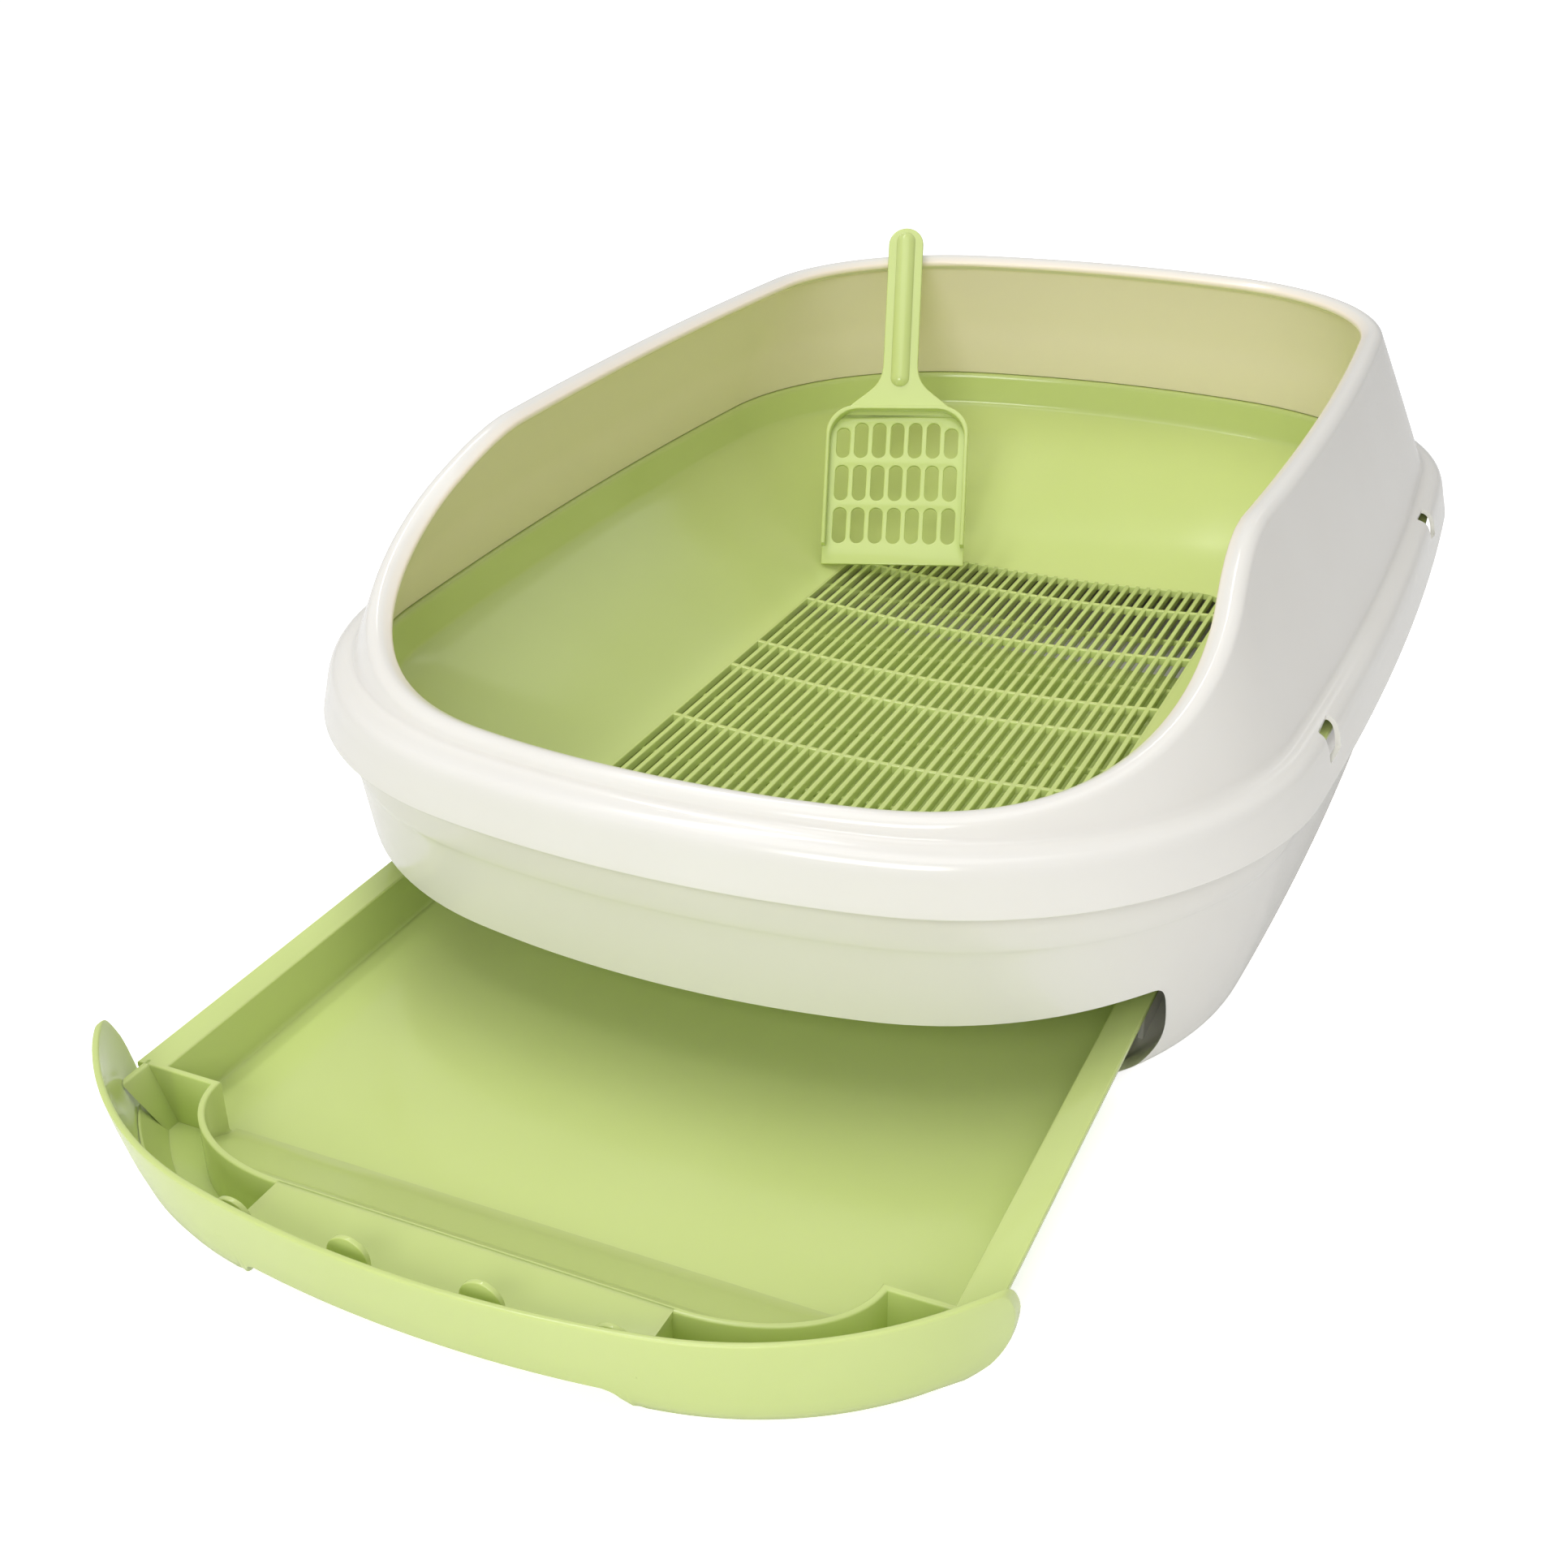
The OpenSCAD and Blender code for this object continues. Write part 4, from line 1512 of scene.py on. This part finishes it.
    def _add_bay_lip(self, draft: Draft, side: int) -> None:
        """Adds the low lip that closes a bay's floor against the drawer front.

        Args:
            draft: What gets the lip.
            side: 1 on the right, -1 on the left.
        """
        low, top = self.under + 0.15, self.floor + self.lip_h
        section = rounded_line([[0, low], [1, low], [1, top], [0, top]], [0.2, 0.2, 0.4, 0.4])
        depth, z = section[:, 0] * self.lip_t, section[:, 1]
        start, end = self.bend_x - 0.3, self._bay_x(z) + self.wall + 1.2
        x = side * (start + (end - start) * np.linspace(0, 1, 33)[:, None])
        heights = np.broadcast_to(z, x.shape)
        draft.grid(np.stack([x, self._behind(x, heights) + depth, heights], axis=2))

    def _tab(self) -> Thing:
        """Makes one upright half-round tab with its slot, at the origin's x and y.

        Returns:
            The tab.
        """
        # An arc leaves its last point out, so this one runs a step past the half circle
        points = 25
        end = math.pi * points / (points - 1)
        dome, _ = arc((0.0, self.tab_top - self.tab_half), self.tab_half, 0, end, points)
        foot = [[-self.tab_half, self.top - 1], [self.tab_half, self.top - 1]]
        low, high = self.peg_z - self.fit, self.peg_z + self.peg_h + self.fit
        half, depth = self.peg_w / 2 + self.fit, self.tab_t / 2
        slot = np.array([(-half, low), (half, low), (half, high), (-half, high)])
        lines = [np.concatenate([foot, dome]), slot]
        tab = extruded("drawer_tab", lines, -depth, depth, 0.35, self.palette.green)
        tab.data.transform(Matrix.Rotation(math.pi / 2, 4, "X"))
        return tab

    def _front(self) -> Thing:
        """Makes the curved drawer front with its finger recess and pegs.

        Returns:
            The front.
        """
        stretches = [(0, 60, 13), (61, 75, 57), (76, 140, 26), (142, 164, 23)]
        end = self.front_half - 2.3 * np.cos(np.linspace(0, 1.5, 12))
        right = np.concatenate([*(np.linspace(*stretch) for stretch in stretches), end])
        x = np.concatenate([-right[:0:-1], right])
        across = np.abs(x)
        low, high = self._low_edge(across), self._top_edge(across)
        low = np.where(across < self.recess_half, np.maximum(self._recess_edge(across), low), low)
        levels = 10
        outer_z = low + (high - low) * np.linspace(0, 1, levels)[:, None]
        outer_d = self.tub.inset(outer_z)
        deep = np.concatenate([outer_d, outer_d[::-1] + self.front_t])
        loop = np.stack([deep, np.concatenate([outer_z, outer_z[::-1]])], axis=2)
        edge = [0.9] + [0.0] * (levels - 2) + [0.9]
        section = rounded(loop, edge * 2)
        wide = np.broadcast_to(x, section.shape[:2])
        y = -self.outline.end_y(wide, section[:, :, 0])
        draft = Draft().grid(np.stack([wide, y, section[:, :, 1]], axis=2).transpose(1, 0, 2))
        half, low_z, top_z = self.peg_w / 2, self.peg_z, self.peg_z + self.peg_h
        end_y, barb_y = self.tab_y + self.peg_past, self.tab_y + self.tab_t / 2 + self.fit
        for at in self.tab_x:
            start = -float(self.outline.end_y(at, float(self.tub.inset(low_z)) + self.front_t / 2))
            draft.bar((at - half, start, low_z), (at + half, end_y, top_z), 0.4)
            draft.bar((at - half, barb_y, low_z + 0.5), (at + half, end_y, top_z + self.barb_h), 0.4)
        return draft.build("drawer_front_shell", self.palette.green)


# ---- Scoop


@dataclass(frozen=True)
class Scoop:
    """Green slotted scoop that stands in the basin and leans on the guard."""

    palette: Palette
    length: float = 198.0
    width: float = 78.0
    shoulder_w: float = 78.6
    blade_l: float = 90.0
    blade_t: float = 2.0
    corner: float = 16.0
    edge_start: float = 10.0
    edge_h: float = 8.0
    edge_t: float = 2.0
    neck_l: float = 112.0
    neck_t: float = 3.0
    handle_w: float = 19.4
    grip_d: float = 12.0
    slot_pitch: float = 10.0
    slot_w: float = 7.4
    slot_l: float = 20.5
    slot_y: tuple[float, ...] = (12.0, 36.6, 61.4)
    corner_slot_less: float = 3.0
    foot: Triple = (-75.3, 125.0, 50.4)
    turns: tuple[tuple[float, str], ...] = ((16.0, "Z"), (51.9, "X"), (1.7, "Z"))

    def build(self) -> None:
        """Builds the scoop."""
        last, green = 3, self.palette.green
        slots = []
        for i in range(-last, last + 1):
            for y in self.slot_y:
                less = self.corner_slot_less if y == self.slot_y[-1] and abs(i) == last else 0
                slots.append(self._slot(self.slot_pitch * i, y, self.slot_l - less))
        blade = extruded("blade", [self._blade(0.0), *slots], 0.0, self.blade_t, 0.5, green)
        ring = [self._blade(0.0, self.edge_start), self._blade(-self.edge_t, self.edge_start)[::-1]]
        edge = extruded("edge", [np.concatenate(ring)], 0.2, self.edge_h, 0.6, green)
        neck = extruded("neck", [self._neck()], 0.1, self.neck_t, 0.7, green)
        scoop = joined("litter_scoop_shell", [blade, edge, neck, self._grip()])
        place = Matrix.Translation(Vector(self.foot) * MM)
        for angle, axis in self.turns:
            place = place @ Matrix.Rotation(math.radians(angle), 4, axis)
        scoop.data.transform(place)
        hand_over(scoop, Body.SCOOP, Slot.GREEN, "litter_scoop")

    def _blade(self, grow: float, start: float = 0.0) -> np.ndarray:
        """Makes the blade's outline.

        Args:
            grow: How far it is moved outwards.
            start: Where it begins along the scoop.

        Returns:
            Its points.
        """
        low, high = self.width / 2 + grow, self.shoulder_w / 2 + grow
        top = self.blade_l + grow
        right, _ = arc((high - self.corner, top - self.corner), self.corner, 0, math.pi / 2, 14)
        half = np.concatenate([[[low, start]], right, [[high - self.corner, top]]])
        return np.concatenate([half, half[::-1] * MIRROR])

    def _slot(self, x: float, y: float, length: float) -> np.ndarray:
        """Makes the outline of one slot with round ends.

        Args:
            x: Its middle, across the scoop.
            y: Its lower end.
            length: Its length.

        Returns:
            Its points.
        """
        radius, past = self.slot_w / 2, 0.01
        low, _ = arc((x, y + radius), radius, math.pi, 2 * math.pi + past, 13)
        high, _ = arc((x, y + length - radius), radius, 0.0, math.pi + past, 13)
        return np.concatenate([low, high])

    def _neck(self) -> np.ndarray:
        """Makes the outline of the neck and of the handle's flat.

        Returns:
            Its points.
        """
        half, start = self.handle_w / 2, self.blade_l
        side = [
            (34.0, start - 5), (26.0, start + 3), (17.0, start + 10),
            (half + 2.5, self.neck_l - 7), (half, self.neck_l), (half, self.length - half),
        ]
        angles = np.linspace(0.1, math.pi / 2, 12)[:-1]
        cap = [(half * math.cos(a), self.length - half + half * math.sin(a)) for a in angles]
        right = np.array([*side, *cap])
        line = np.concatenate([right, [[0.0, self.length]], right[::-1] * MIRROR])
        bends = [0.0, 6.0, 6.0, 5.0, 5.0]
        cuts = bends + [0.0] * (len(line) - 2 * len(bends)) + bends[::-1]
        return rounded_line(line, cuts, CORNER_STEPS)

    def _grip(self) -> Thing:
        """Makes the half-round grip along the handle.

        Returns:
            The grip.
        """
        full, base, least = self.grip_d / 2, 1.0, 0.05
        start, end = self.neck_l - 4, self.length - 8
        bend = np.linspace(0, math.pi / 2, 9)
        stations = [(start - full * math.cos(a), full * math.sin(a)) for a in bend]
        stations += [(end + full * math.sin(a), full * math.cos(a)) for a in bend]
        turn = np.linspace(0, 2 * math.pi, 40, endpoint=False)
        rows = []
        for y, radius in stations:
            ring = max(radius, least)
            z = np.maximum(ring * np.sin(turn), base if ring > base else ring * 0.5)
            rows.append(np.stack([ring * np.cos(turn), np.full(len(turn), y), z], axis=1))
        return Draft().grid(rows).build("grip", self.palette.green)


# ---- Studio


@dataclass(frozen=True)
class SoftLight:
    """A soft rectangular light, in metres and watts."""

    name: str
    place: Triple
    aim: Triple
    size: tuple[float, float]
    power: float

    def build(self) -> None:
        """Makes the light, turned towards its aim."""
        light = bpy.data.lights.new(self.name, "AREA")
        light.shape = "RECTANGLE"
        light.size, light.size_y = self.size
        light.energy = self.power
        lamp = linked(self.name, light)
        lamp.location = self.place
        way = Vector(self.aim) - Vector(self.place)
        lamp.rotation_euler = way.to_track_quat("-Z", "Y").to_euler()


@dataclass(frozen=True)
class Studio:
    """Camera, floor and lights, in metres and degrees."""

    camera_place: Triple = (0.2804, -0.7148, 0.4296)
    azimuth: float = 24.789
    elevation: float = 27.693
    roll: float = 0.625
    lens_mm: float = 43.58
    sensor_mm: float = 36.0
    floor_size: float = 14.0
    floor_tones: tuple[str, str] = ("F8F8F8", "FBFBFB")
    floor_lift: float = 0.62
    haze: float = 1.25
    surround: float = 0.45
    white: str = "FFFFFF"
    lights: tuple[SoftLight, ...] = (
        SoftLight("key_front", (0.3, -2.3, 1.35), (0, 0, 0.08), (1.3, 0.8), 25.0),
        SoftLight("soft_overhead", (-0.1, -0.5, 2.2), (0, -0.1, 0.05), (2.2, 1.5), 14.5),
        SoftLight("strip_shoulder", (-0.65, 0.35, 1.7), (0, 0.25, 0.1), (1.1, 0.12), 5.0),
        SoftLight("strip_back", (0.4, 1.8, 1.25), (-0.1, 0, 0.1), (0.16, 0.5), 0.25),
    )

    def build(self) -> None:
        """Builds the studio around the object."""
        self._camera()
        self._floor()
        self._world()
        for light in self.lights:
            light.build()
        bpy.context.scene.view_settings.view_transform = "Standard"

    def _camera(self) -> None:
        """Sets the scene's camera."""
        data = bpy.data.cameras.new("view")
        data.sensor_fit = "HORIZONTAL"
        data.sensor_width = self.sensor_mm
        data.lens = self.lens_mm
        data.clip_start = 0.02
        data.clip_end = 60.0
        camera = linked("view", data)
        az, el, roll = (math.radians(v) for v in (self.azimuth, self.elevation, self.roll))
        way = Vector((-math.sin(az) * math.cos(el), math.cos(az) * math.cos(el), -math.sin(el)))
        right = Vector((math.cos(az), math.sin(az), 0.0))
        down = way.cross(right)
        across = math.cos(roll) * right + math.sin(roll) * down
        along = -math.sin(roll) * right + math.cos(roll) * down
        axes = Matrix((across, -along, -way)).transposed()
        camera.matrix_world = Matrix.Translation(self.camera_place) @ axes.to_4x4()
        bpy.context.scene.camera = camera

    def _floor(self) -> None:
        """Adds the plain pale floor, which only the camera sees lit up."""
        half = self.floor_size / 2
        mesh = bpy.data.meshes.new("floor")
        corners = [(-half, -half, 0), (half, -half, 0), (half, half, 0), (-half, half, 0)]
        mesh.from_pydata(corners, [], [(0, 1, 2, 3)])
        material, tree, place = new_material("floor_matt_pale")
        haze = add_node(tree, "ShaderNodeTexNoise", {"Vector": place, "Scale": 1 / self.haze})
        first, second = (linear_colour(tone) for tone in self.floor_tones)
        tone = add_node(
            tree,
            "ShaderNodeMix",
            {"Factor": haze.outputs["Fac"], "A": first, "B": second},
            data_type="RGBA",
        )
        seen = add_node(tree, "ShaderNodeLightPath").outputs["Is Camera Ray"]
        lift = add_node(tree, "ShaderNodeMath", {0: seen, 1: self.floor_lift}, operation="MULTIPLY")
        skin = add_node(
            tree,
            "ShaderNodeBsdfPrincipled",
            {
                "Base Color": tone.outputs["Result"],
                "Roughness": 0.9,
                "Specular IOR Level": 0.1,
                "Emission Color": linear_colour(self.white),
                "Emission Strength": lift.outputs["Value"],
            },
        )
        add_node(tree, "ShaderNodeOutputMaterial", {"Surface": skin.outputs["BSDF"]})
        mesh.materials.append(material)
        floor = linked("floor", mesh)

    def _world(self) -> None:
        """Sets an even surround, which the camera sees as plain white."""
        world = bpy.data.worlds.new("studio")
        world.use_nodes = True
        tree = world.node_tree
        tree.nodes.clear()
        seen = add_node(tree, "ShaderNodeLightPath").outputs["Is Camera Ray"]
        inputs = {"Value": seen, "To Min": self.surround, "To Max": 1.0}
        level = add_node(tree, "ShaderNodeMapRange", inputs).outputs["Result"]
        inputs = {"Color": linear_colour(self.white), "Strength": level}
        glow = add_node(tree, "ShaderNodeBackground", inputs)
        add_node(tree, "ShaderNodeOutputWorld", {"Surface": glow.outputs["Background"]})
        bpy.context.scene.world = world


# ---- Whole


def main() -> None:
    """Builds the litter box and its studio around the frame."""
    logging.basicConfig(level=logging.INFO, format="%(message)s")
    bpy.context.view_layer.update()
    Studio().build()
    palette, outline = Palette.build(), Outline()
    tub = Tub(palette, outline)
    drawer = Drawer(palette, outline, tub)
    for part in (tub, Basin(palette, outline), Guard(palette, outline), drawer, Scoop(palette)):
        part.build()


if __name__ == "__main__":
    main()
